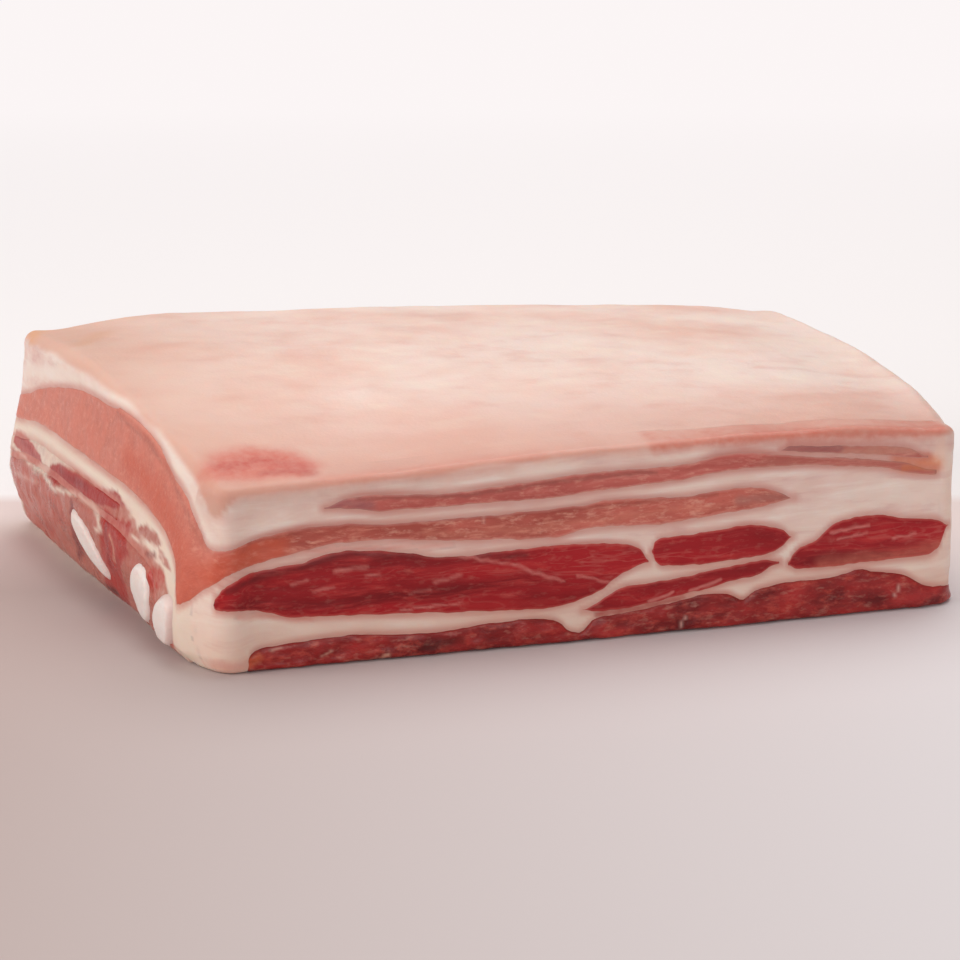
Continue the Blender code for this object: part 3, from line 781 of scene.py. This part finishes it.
def muscle(name, counts, edges, first=None, last=None, sunk=None, bumps=0.0, on_floor=False):
    """A muscle as a closed slab of its own, its cut ends a hair proud of the fat, its rims sunk in it.

    It starts at the left end, or at u = first, and ends at the right end, or at u = last.
    """
    piece = block(name, counts)
    grid = lattice_places(piece)

    def share_at(side, u):
        done, xs = PLAN[side][:, 0], PLAN[side][:, 1]
        x = plan_x(u, 1.0 if side == "front" else 158.0)
        place = np.interp(x, xs, done) if side == "front" else np.interp(-x, -xs, done)
        return float(place) / done[-1]

    f0 = 0.0 if first is None else share_at("front", first)
    f1 = 1.0 if last is None else share_at("front", last)
    b0 = 1.0 if first is None else share_at("back", first)
    b1 = 0.0 if last is None else share_at("back", last)
    spots = {}

    def on(side, share):
        held = side, round(share, 6)
        if held not in spots:
            spots[held] = outline(*held)
        return spots[held]

    def front(n):
        return lambda a: on("front", f0 + (f1 - f0) * a)[n]

    def back(n):
        return lambda a: on("back", b0 + (b1 - b0) * a)[n]

    def end(n, kind, a):
        if kind is None:
            return lambda b: on("left", 1 - b)[n] if a == 0 else on("right", b)[n]
        p, q = front(n)(a), back(n)(a)
        return lambda b: p + (q - p) * b

    bands = {}

    def band(side, share):
        """Its lower and upper edge where the cut side really stands, and how deep it hides there."""
        if (side, share) not in bands:
            spot = on(side, share)
            bottom, top = edges(spot[0], spot[1])
            for _ in range(3):
                bottom, top = edges(*wall(spot, bottom))[0], edges(*wall(spot, top))[1]
            hides = sunk(*wall(spot, 0.5 * (bottom + top))) if sunk else 0.0
            bands[side, share] = bottom, top, hides
        return bands[side, share]

    fr, bk = [front(0), front(1)], [back(0), back(1)]
    lf, rt = [end(n, first, 0) for n in (0, 1)], [end(n, last, 1) for n in (0, 1)]
    places = np.zeros_like(grid)
    from_rim = np.zeros(len(grid))
    for i, (a, b, c) in enumerate(grid):
        held = None
        if b <= 0:
            held = "front", round(f0 + (f1 - f0) * a, 6)
        elif b >= 1:
            held = "back", round(b0 + (b1 - b0) * a, 6)
        elif a <= 0 and first is None:
            held = "left", round(1 - b, 6)
        elif a >= 1 and last is None:
            held = "right", round(b, 6)
        if held:
            spot = on(*held)
            x, y = spot[:2]
            bottom, top, hides = band(*held)
            wander = 0.3 * noise.noise(Vector((x * 0.14, y * 0.14, 20 + len(name))))
            wander += 0.25 * noise.noise(Vector((x * 0.45, y * 0.45, 40)))
            bottom, top = bottom - 0.5 - wander, top + 0.5 + wander
            if on_floor:
                bottom = 0.0
            z = bottom + (top - bottom) * c
            gap = top - z if on_floor else min(top - z, z - bottom)
            from_rim[i] = gap
            out = -0.35 + 0.55 * blend(0.0, 1.1, gap) - hides
            if bumps:
                lumps = 0.75 + noise.noise(Vector((x * 0.16, y * 0.16, z * 0.22 + 3)))
                lumps += 0.5 * noise.noise(Vector((x * 0.42, y * 0.42, z * 0.5 + 8)))
                out += bumps * blend(0.3, 2.5, gap) * lumps
            if on_floor and z < LOW_EDGE:
                out -= LOW_EDGE * (1 - math.sin(math.acos(1 - z / LOW_EDGE)))
            places[i] = *wall(spot, z, out), z
        else:
            x, y = inside(a, b, fr, bk, lf, rt)
            bottom, top = edges(x, y)
            places[i] = x, y, top * c if on_floor else bottom + (top - bottom) * c
            from_rim[i] = 5.0
    shown = {}
    for (side, share), (bottom, top, hides) in bands.items():
        shown.setdefault(side, []).append((share, bottom, top, hides))
    LEAN_SHOWN.append({side: np.array(sorted(rows)) for side, rows in shown.items()})
    settled(piece, places)
    marked(piece, "from_rim", from_rim)
    flat = []
    reach = 0.5 / math.prod(counts[1]) + 1e-4
    for face in piece.data.polygons:
        corners = [grid[v] for v in face.vertices]
        level = all(c <= 0 for _, _, c in corners) or all(c >= 1 for _, _, c in corners)
        away = [gap for _, b, _ in corners for gap in (b, 1 - b)]
        if first is None:
            away += [a for a, _, _ in corners]
        if last is None:
            away += [1 - a for a, _, _ in corners]
        flat.append(level and min(away) > reach)
    return piece, places, np.array(flat)


def grain_group():
    """Muscle grain: fine fibres and loose bundles along X, thin veins of fat between them, and height."""
    tree, add, given, wanted = group(
        "muscle_grain",
        [("Stretch", "Float", 0.16), ("Size", "Float", 520.0), ("Veins", "Float", 0.3)],
        [("Fibre", "Float"), ("Bundles", "Float"), ("Veins", "Float"), ("Height", "Float")],
    )
    place = add("TexCoord").outputs["Object"]
    stretch = add("CombineXYZ", {0: given["Stretch"], 1: 1.0, 2: 1.0})
    drawn = add("VectorMath", {0: place, 1: stretch.outputs[0]}, operation="MULTIPLY")
    sway = add("TexNoise", {"Vector": place, "Scale": 60.0, "Detail": 1.0})
    swayed = {0: sway.outputs["Color"], 1: (0.0035, 0.0035, 0.0035), 2: drawn.outputs[0]}
    bent = add("VectorMath", swayed, operation="MULTIPLY_ADD").outputs[0]
    fibre = add("TexNoise", {"Vector": bent, "Scale": given["Size"], "Detail": 5.0, "Roughness": 0.65})
    third = add("Math", {0: given["Size"], 1: 0.27}, operation="MULTIPLY").outputs[0]
    bundles = add("TexNoise", {"Vector": bent, "Scale": third, "Detail": 3.0, "Roughness": 0.5})
    half = add("Math", {0: given["Size"], 1: 0.42}, operation="MULTIPLY").outputs[0]
    strands = {"Scale": half, "Detail": 3.0, "Roughness": 0.6, "Distortion": 0.6}
    vein = add("TexNoise", {"Vector": bent, **strands})
    off = add("Math", {0: vein.outputs["Fac"], 1: 0.5}, operation="SUBTRACT")
    off = add("Math", {0: off.outputs[0]}, operation="ABSOLUTE")
    thin = ramp(add, off.outputs[0], 0.028, 0.004)
    where = ramp(add, bundles.outputs["Fac"], 0.48, 0.66)
    veins = add("Math", {0: thin, 1: where}, operation="MULTIPLY")
    veins = add("Math", {0: veins.outputs[0], 1: given["Veins"]}, operation="MULTIPLY", use_clamp=True)
    high = add("Math", {0: fibre.outputs["Fac"], 1: 0.6, 2: bundles.outputs["Fac"]}, operation="MULTIPLY_ADD")
    tree.links.new(fibre.outputs["Fac"], wanted["Fibre"])
    tree.links.new(bundles.outputs["Fac"], wanted["Bundles"])
    tree.links.new(veins.outputs[0], wanted["Veins"])
    tree.links.new(high.outputs[0], wanted["Height"])
    return tree


GRAIN = grain_group()


def lean_finish(
    name, main, dark, light, rim, veins=0.5, stretch=0.16, size=520.0, rough=(0.34, 0.5), relief=0.0009,
    rim_width=1.0, wet=0.06, speckle=0.35,
):
    """Raw lean: its colour, its darker and lighter fibres, its rim against the fat, and its wet gloss."""
    material, tree, add, shader = new_finish(name)
    grain = add("Group", {}, node_tree=GRAIN)
    grain.inputs["Stretch"].default_value = stretch
    grain.inputs["Size"].default_value = size
    grain.inputs["Veins"].default_value = veins
    base = mix(add, ramp(add, grain.outputs["Bundles"], 0.36, 0.64), tone(*dark), tone(*main))
    base = mix(add, ramp(add, grain.outputs["Fibre"], 0.50, 0.74, 0.0, 0.75), base, tone(*light))
    base = mix(add, grain.outputs["Veins"], base, tone(208, 124, 112))
    place = add("TexCoord").outputs["Object"]
    drawn = add("Mapping", {"Vector": place, "Scale": (0.4, 0.6, 1.0)})
    crumbs = add("TexNoise", {"Vector": drawn.outputs[0], "Scale": 620.0, "Detail": 3.0, "Roughness": 0.6})
    crumbs = crumbs.outputs["Fac"]
    base = mix(add, ramp(add, crumbs, 0.54, 0.72, 0.0, speckle), base, tone(238, 184, 162))
    base = mix(add, ramp(add, crumbs, 0.40, 0.30, 0.0, speckle), base, tone(*dark))
    edge = add("Attribute", attribute_name="from_rim").outputs["Fac"]
    base = mix(add, ramp(add, edge, 0.5, rim_width + 0.5, 0.9, 0.0), base, tone(*rim))
    stains = add("Group", {}, node_tree=STAINS)
    tree.links.new(base, stains.inputs["Colour"])
    tree.links.new(stains.outputs["Colour"], shader.inputs["Base Color"])
    tree.links.new(ramp(add, grain.outputs["Bundles"], 0.3, 0.7, *rough), shader.inputs["Roughness"])
    bump = add("Bump", {"Height": grain.outputs["Height"], "Strength": 0.5, "Distance": relief})
    tree.links.new(bump.outputs[0], shader.inputs["Normal"])
    shader.inputs["Subsurface Weight"].default_value = 0.2
    shader.inputs["Subsurface Radius"].default_value = (1.0, 0.25, 0.2)
    shader.inputs["Subsurface Scale"].default_value = 0.002
    shader.inputs["Specular IOR Level"].default_value = 0.22
    shader.inputs["Coat Weight"].default_value = wet
    shader.inputs["Coat Roughness"].default_value = 0.2
    return material


belt, places, flat = muscle("belt", ((10, 16), (10, 12), (14,)), lifted(belt_flat), last=175.0)
stained(belt, places, [
    ("left", [(150, 38), (150, 58), (90, 64), (40, 61), (14, 50), (0, 40), (0, 16), (12, 16), (22, 36),
              (50, 42), (110, 43), (150, 38)], 1.0, 2.0, (224, 140, 120), 0.72),
    ("left", [(52, 50), (34, 47), (20, 41), (10, 34), (5, 26), (5, 18)], 4.0, 8, (208, 98, 74), 0.75),
    ("left", [(66, 61.5), (43, 59.2), (29, 54.6), (16.5, 48.2), (7, 43.2), (2, 38.6)], 0.7, 1.6,
     (176, 102, 88), 0.6),
    ("front", [(-4, 30), (6, 35), (16, 37)], 4.0, 6, (212, 94, 66), 0.75),
    ("front", [(157, 39.6), (167, 39.6), (174, 39.7)], 1.4, 2.5, (170, 118, 108), 0.6),
    ("front", [(78.2, 38.6), (78.2, 42.2)], 0.18, 0.5, (232, 190, 176), 0.9),
    ("front", [(8, 39), (30, 42), (50, 41.4), (86, 40.8), (120, 41.4), (150, 42)], 0.5, 1.4,
     (152, 76, 68), 0.55),
    ("front", [(60, 36.8), (90, 36.2), (120, 37.4), (150, 38.4)], 0.8, 2.0, (226, 146, 122), 0.35),
])
belt.data.materials.append(lean_finish(
    "belt_lean", (206, 108, 94), (178, 86, 74), (230, 156, 134), (220, 146, 132), veins=0.3, size=640.0,
    stretch=0.22, speckle=0.5,
))
flatten_hidden(belt, flat)
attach(belt, "root")
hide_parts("belt")

# Thin streaks in the cap fat
# Two thin flat muscles in the cap fat above the belt. The lower one runs most of the front cut.
STREAK_LOWER = (
    [(30.5, 47.9), (36, 50), (42, 50.8), (53, 50.2), (66, 49.2), (77, 50), (95, 51), (113, 52.2), (138, 52.2),
     (151, 54.1), (158, 54.4), (170, 52.8), (183, 51), (196, 49.4), (209, 47.2), (221, 43.9)],
    [(30.5, 47.5), (41, 46.2), (48, 45.1), (95, 45.1), (113, 46.1), (138, 47.4), (157, 49), (176, 48.8),
     (189, 47.5), (202, 45.8), (221, 41.8)],
)
STREAK_UPPER = (
    [(170, 54.2), (173, 55.3), (182, 54.6), (195, 53.5), (205, 52.7), (212, 51.2), (218, 48.6)],
    [(170, 53.9), (176, 52.9), (188, 51.6), (199, 50.2), (209, 48.6), (218, 47.4)],
)


def sheet(form):
    """The edges of a muscle that looks alike from the front cut to the back."""
    return lifted(lambda u, x, y: (along(form[0], u), along(form[1], u)))


streak_lower, places, flat = muscle(
    "streak_lower", ((10, 20), (8,), (12,)), sheet(STREAK_LOWER), first=30.5, last=221.0,
)
stained(streak_lower, places, [
    ("front", [(30, 47.8), (37, 48.6), (44, 47.4)], 1.6, 3, (150, 100, 104), 0.6),
    ("front", [(40, 49.8), (72, 48.2), (100, 50.2), (130, 50.8)], 0.5, 1.3, (140, 84, 76), 0.6),
    ("front", [(165, 49), (200, 46.6), (221, 44.6)], 3.0, 3, (190, 124, 108), 0.45),
    ("front", [(210, 45), (221, 44.6)], 1.0, 1.5, (214, 126, 84), 0.7),
])
streak_lower.data.materials.append(lean_finish(
    "streak_lean", (204, 108, 98), (182, 88, 80), (222, 142, 128), (222, 156, 142), veins=0.2, size=620.0,
    rim_width=0.9,
))
flatten_hidden(streak_lower, flat)
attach(streak_lower, "root")
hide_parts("streak_lower")

streak_upper, places, flat = muscle(
    "streak_upper", ((10, 8), (8,), (8,)), sheet(STREAK_UPPER), first=170.0, last=218.0,
)
stained(streak_upper, places, [
    ("front", [(170, 54), (180, 54), (189, 53.4)], 1.4, 1.6, (156, 98, 96), 0.7),
    ("front", [(191, 51.6), (202, 51.2), (213, 50.8)], 1.8, 2, (206, 146, 128), 0.7),
])
streak_upper.data.materials.append(lean_finish(
    "upper_streak_lean", (200, 116, 104), (180, 94, 84), (218, 146, 132), (218, 156, 142), veins=0.2,
    size=620.0, rim_width=0.7,
))
flatten_hidden(streak_upper, flat)
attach(streak_upper, "root")
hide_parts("streak_upper")

# Deep muscles
# The deep crimson muscles under the belt: a large one on the left that passes over the ribs, and
# three smaller ones parted by seams of fat.
DEEP_1 = (
    [(-4, 21.7), (-1, 26.5), (3.3, 29), (8, 30.3), (23, 31.8), (28, 33.2), (36, 34.2), (44, 33.6), (53, 32.5),
     (68, 29.8), (86, 30.3), (101, 30.5), (114, 30), (121, 29), (126, 27.1), (128.5, 23.5)],
    [(-4, 21), (-2.5, 20.3), (4.4, 19.6), (13.5, 17.2), (22, 15.2), (31, 14.9), (52, 13.6), (82, 11.8),
     (95, 11.3), (102, 11.8), (109, 13.5), (114, 15.6), (117, 18), (121, 20.4), (128.5, 22.6)],
)
DEEP_2 = (
    [(129.6, 26.4), (130.5, 29), (134, 30.2), (142, 30.4), (150, 30.9), (159, 31.8), (165.5, 31),
     (171, 29.2), (174, 26.8)],
    [(129.6, 25.6), (130.5, 23), (133, 21.2), (142, 20.6), (154, 21), (161, 21.3), (167, 22), (171, 24),
     (174, 26.4)],
)
DEEP_3 = (
    [(108, 10), (113, 12), (117, 14.4), (121, 15.9), (131, 16.5), (145, 17.9), (153, 19.1), (166, 20.4),
     (170, 19.4)],
    [(108, 9.4), (113, 8.5), (120, 8.8), (129, 9.8), (138.5, 11.3), (148, 13), (156, 14.6), (162, 15.2),
     (170, 18.4)],
)
DEEP_4 = (
    [(173, 18.8), (174.5, 21.3), (177, 23.2), (181.5, 24.8), (187.5, 29.3), (192, 30.6), (197, 31.3),
     (204.5, 30.7), (210, 29.4), (221, 28.1), (225.5, 25.6)],
    [(173, 17.6), (175.5, 16.2), (184, 15.9), (197, 16.3), (210, 16.6), (218, 16.6), (222, 18.2),
     (225.5, 25.2)],
)
DEEP_1_BELOW_BELT = (5.8, 10.8)


def deep_1_flat(u, x, y):
    """This muscle's edges before it is lifted: over the ribs it lies a set way below the belt."""
    top, bottom = along(DEEP_1[0], u), along(DEEP_1[1], u)
    over = rib_zone(x, y)
    belt = belt_flat(u, x, y)[1]
    upper, lower = DEEP_1_BELOW_BELT
    return top + over * (belt - upper - top), bottom + over * (belt - lower - bottom)


def deep_1_gap(x, y):
    """Fat covers this muscle on the left end behind the front corner, and it shows again over the ribs."""
    start = -5.0 + 23.0 * blend(-1.5, 8, y) - 12.0 * blend(26, 40, y) - 31.0 * blend(44, 60, y)
    return 2.5 * blend(-0.5, 1.0, start - across(x, y))


deep_1, places, flat = muscle(
    "deep_1", ((10, 16), (10, 12), (24,)), lifted(deep_1_flat), last=128.5, sunk=deep_1_gap,
)
PALE_FLECK = (222, 142, 132)
stained(deep_1, places, [
    *LEFT_END,
    ("front", [(0, 26), (33, 32.6), (52, 32.2), (67, 30.8), (90, 28.6)], 1.0, 1.8, (92, 24, 26), 0.65),
    ("front", [(33, 28.2), (37.5, 28.7), (42.2, 28.9)], 0.4, 1.5, PALE_FLECK, 0.75),
    ("front", [(20, 25.4), (22.6, 26.1), (24.7, 26.5)], 0.3, 1.2, PALE_FLECK, 0.65),
    ("front", [(26.6, 23), (29.6, 23.7), (32.6, 23.7)], 0.3, 1.3, PALE_FLECK, 0.65),
    ("front", [(42.1, 26.2), (46.3, 26.7)], 0.3, 1.2, PALE_FLECK, 0.65),
    ("front", [(62.7, 22.6), (66.7, 23.2), (70.3, 24.1)], 0.4, 1.5, PALE_FLECK, 0.65),
    ("front", [(55.2, 19.6), (61.2, 20.6)], 0.3, 1.3, PALE_FLECK, 0.5),
    ("front", [(52.4, 14.9), (61.1, 15.0), (70.2, 15.4)], 0.35, 0.8, PALE_FLECK, 0.7),
    ("front", [(69.3, 30.2), (76.5, 28.3), (88.6, 25.2), (93.2, 22.6), (101.8, 19.7)], 0.4, 1.0,
     (214, 128, 120), 0.8),
    ("front", [(106.1, 20.8), (111.7, 19.1), (116.7, 17.7)], 0.35, 0.8, (214, 128, 120), 0.8),
    ("front", [(72.3, 14.3), (85.5, 13.6), (99, 13.0)], 1.2, 2.0, (176, 40, 40), 0.6),
])
DEEP_LEAN = lean_finish(
    "deep_lean", (176, 24, 32), (128, 12, 20), (200, 62, 58), (202, 92, 84), veins=0.25, size=460.0,
    stretch=0.12, rough=(0.28, 0.45), wet=0.1, speckle=0.1,
)
deep_1.data.materials.append(DEEP_LEAN)
flatten_hidden(deep_1, flat)
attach(deep_1, "root")
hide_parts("deep_1")

for name, form, first, last, marks in (
    ("deep_2", DEEP_2, 129.6, 174.0, []),
    ("deep_3", DEEP_3, 108.0, 170.0, [
        ("front", [(128.7, 10.3), (132.1, 11.2), (136, 12.6)], 0.4, 0.8, PALE_FLECK, 0.8),
        ("front", [(141.6, 12.6), (146.4, 13.7), (151.2, 15.2)], 0.4, 0.8, PALE_FLECK, 0.7),
    ]),
    ("deep_4", DEEP_4, 173.0, 225.5, [
        ("front", [(186.7, 26.6), (192.9, 27.6), (199.1, 28.2)], 0.45, 0.9, PALE_FLECK, 0.75),
        ("front", [(189, 24.6), (198.5, 25.4)], 0.35, 0.8, PALE_FLECK, 0.6),
        ("front", [(207, 23.2), (214.3, 24)], 0.4, 0.8, PALE_FLECK, 0.6),
        ("front", [(184, 17), (200, 17.5), (214, 18), (225, 20)], 1.6, 6, (216, 120, 100), 0.6),
    ]),
):
    lobe, places, flat = muscle(name, ((10, 10), (8,), (20,)), sheet(form), first=first, last=last)
    stained(lobe, places, marks)
    lobe.data.materials.append(DEEP_LEAN)
    flatten_hidden(lobe, flat)
    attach(lobe, "root")
    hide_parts(name)

# Base muscle
# The dark, wet, bumpy lean on the boned side, which the slab lies on. At the left end it holds the
# ribs, and shows as lobes of lean parted by cream fat.
BASE_TOP = [
    (4.4, 1.5), (6, 4.2), (9.4, 6.5), (16, 7.4), (37, 8.5), (52, 7.5), (64, 7.1), (82, 8.4), (92, 8.5),
    (97, 8), (101, 6.2), (103.5, 3.6), (107, 2.6), (109, 4.4), (112, 6.9), (120, 7.5), (129, 8.4),
    (138.5, 9.9), (146, 11), (153, 10.8), (158.3, 8.3), (163, 11), (175, 12.5), (187, 12.5), (192, 13.6),
    (196.5, 14.4), (200.5, 13.3), (210, 11.6), (218.5, 7), (227, 5.4), (238, 4.5),
]
BASE_BELOW_BELT = 12.8


def base_flat(u, x, y):
    """The base's edges before it is lifted: it fills the space up to deep_1 where the ribs are."""
    top = along(BASE_TOP, u)
    return top + rib_zone(x, y) * (belt_flat(u, x, y)[1] - BASE_BELOW_BELT - top), 0.0


def base_gap(x, y):
    """A corner of fat stands in front of this muscle at the left end."""
    return 3.0 * blend(-1.0, 1.0, 5.0 - 30.0 * blend(5, 16, y) - across(x, y))


base, places, flat = muscle(
    "base", ((10, 17), (10, 14), (30,)), lifted(base_flat), sunk=base_gap, bumps=0.55, on_floor=True,
)
stained(base, places, [
    *LEFT_END,
    ("front", [(5.3, 2), (7.1, 3), (9.6, 3.8)], 1.4, 2, (206, 96, 62), 0.8),
    ("front", [(209, 3), (215, 4), (221, 4.6)], 1.8, 3, (190, 52, 50), 0.8),
    ("front", [(12.9, 6.0), (16.8, 6.8)], 0.35, 0.7, (220, 168, 150), 0.7),
    ("front", [(28.8, 3.2), (31.5, 4.5)], 0.4, 0.8, (220, 168, 150), 0.7),
    ("front", [(207.6, 4.6), (209.8, 8.2)], 0.4, 0.8, (226, 176, 164), 0.8),
    ("front", [(137.7, 1.1), (138.8, 3.0), (140.4, 4.7)], 0.4, 0.8, (226, 176, 164), 0.85),
    # Painted shadow: a near-black spot in a gap low on the front cut.
    ("front", [(59.7, 3.0), (64.9, 3.5), (70.1, 3.9)], 1.4, 2.0, (70, 22, 20), 0.6),
    ("front", [(46.5, 0.7), (48, 1.7)], 0.7, 0.8, (226, 176, 150), 0.7),
])
base.data.materials.append(lean_finish(
    "base_lean", (178, 42, 40), (112, 20, 22), (206, 84, 70), (150, 44, 38), veins=0.12, size=420.0,
    stretch=0.5, rough=(0.22, 0.4), relief=0.0016, wet=0.25, speckle=0.22,
))
flatten_hidden(base, flat)
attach(base, "root")
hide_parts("base")

# Where lean meets fat
# The juice of each muscle soaks a little way into the fat beside it, so that their borders are soft.
# The fat's cut sides carry this as an attribute, from the edges that the muscles show there.
on_sides = [side_of(a, b) for a, b, _ in FAT_GRID]
sides = np.array([SIDES.index(held[0]) if held else -1 for held in on_sides])
shares = np.array([held[1] if held else 0.0 for held in on_sides])
off_lean = np.full(len(FAT_GRID), 99.0)
for runs in LEAN_SHOWN:
    for side, rows in runs.items():
        here = sides == SIDES.index(side)
        place, z = shares[here], FAT_PLACES[here, 2]
        low, high, hides = (np.interp(place, rows[:, 0], rows[:, n]) for n in (1, 2, 3))
        past = np.maximum(np.maximum(rows[0, 0] - place, place - rows[-1, 0]), 0) * PLAN[side][-1, 0]
        gap = np.hypot(past, np.maximum(np.maximum(low - z, z - high), 0)) + 4 * hides
        off_lean[here] = np.minimum(off_lean[here], gap)
marked(fat, "by_lean", 1.25 * (1 - soft_step(0.0, 2.6, off_lean)))
flatten_hidden(fat, np.array(hidden))

# Rib ends
# Three ends of rib cartilage in the base muscle at the left end, sawn off and slightly proud. Each has
# its middle (y, z), its half length and half height, and its tilt in degrees, and reaches in to x = 9.
RIB_PROUD = 1.7
RIB_LOWEST = 1.4
RIB_TIP_X = 9.0
RIBS = {
    "rib_1": ((75.0, 18.2), (15.2, 4.7), 37.0),
    "rib_2": ((34.0, 15.4), (10.8, 7.0), 110.0),
    "rib_3": ((18.0, 11.6), (10.4, 5.0), 117.0),
}


def bone_finish():
    """White cartilage: faintly blue-pink at its rim, with tiny pits and a damp gloss."""
    material, tree, add, shader = new_finish("rib_cartilage")
    place = add("TexCoord").outputs["Object"]
    cloud = add("TexNoise", {"Vector": place, "Scale": 160.0, "Detail": 4.0})
    pits = add("TexNoise", {"Vector": place, "Scale": 900.0, "Detail": 2.0})
    base = mix(add, cloud.outputs["Fac"], tone(254, 248, 244), tone(240, 222, 214))
    edge = add("Attribute", attribute_name="from_rim").outputs["Fac"]
    base = mix(add, ramp(add, edge, 0.0, 1.6, 0.75, 0.0), base, tone(214, 160, 150))
    tree.links.new(base, shader.inputs["Base Color"])
    rough = ramp(add, cloud.outputs["Fac"], 0.0, 1.0, 0.28, 0.5)
    tree.links.new(rough, shader.inputs["Roughness"])
    bump = add("Bump", {"Height": pits.outputs["Fac"], "Strength": 0.4, "Distance": 0.0006})
    tree.links.new(bump.outputs[0], shader.inputs["Normal"])
    shader.inputs["Subsurface Weight"].default_value = 0.3
    shader.inputs["Subsurface Radius"].default_value = (1.0, 0.6, 0.5)
    shader.inputs["Subsurface Scale"].default_value = 0.002
    return material


BONE = bone_finish()
left_y = PLAN["left"][:, 2]
for name, ((cy, cz), (half_long, half_short), tilt) in RIBS.items():
    bone = block(name, ((12,), (20,), (20,)))
    grid = lattice_places(bone)
    cosine, sine = math.cos(math.radians(tilt)), math.sin(math.radians(tilt))
    places = np.zeros_like(grid)
    from_rim = np.zeros(len(grid))
    for i, (a, b, c) in enumerate(grid):
        p, q = 2 * b - 1, 2 * c - 1
        p, q = p * math.sqrt(1 - q * q / 2), q * math.sqrt(1 - p * p / 2)
        out = math.hypot(p, q)
        share = 1.0 if a < 0.6 else math.sqrt(max(0.0, 1 - ((a - 0.6) / 0.4) ** 2 * 0.96))
        across_end, up = (half_long + 0.5) * p, (half_short + 1.1) * q
        y = cy + share * (across_end * cosine - up * sine)
        z = max(RIB_LOWEST, cz + share * (across_end * sine + up * cosine))
        done = float(np.interp(-y, -left_y, PLAN["left"][:, 0])) / PLAN["left"][-1, 0]
        spot = outline("left", done)
        fx, fy = wall(spot, z, RIB_PROUD - 2.0 * blend(0.72, 1.0, out))
        x = fx + a * (RIB_TIP_X - fx)
        places[i] = x, (fy if a <= 0 else fy + (y - fy) * min(1, 3 * a)), z
        from_rim[i] = (1 - out) * half_short if a <= 0 else 0.0
    settled(bone, places)
    marked(bone, "from_rim", from_rim)
    bone.data.materials.append(BONE)
    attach(bone, "root")
    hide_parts(name)

# Final update of the scene
bpy.context.view_layer.update()
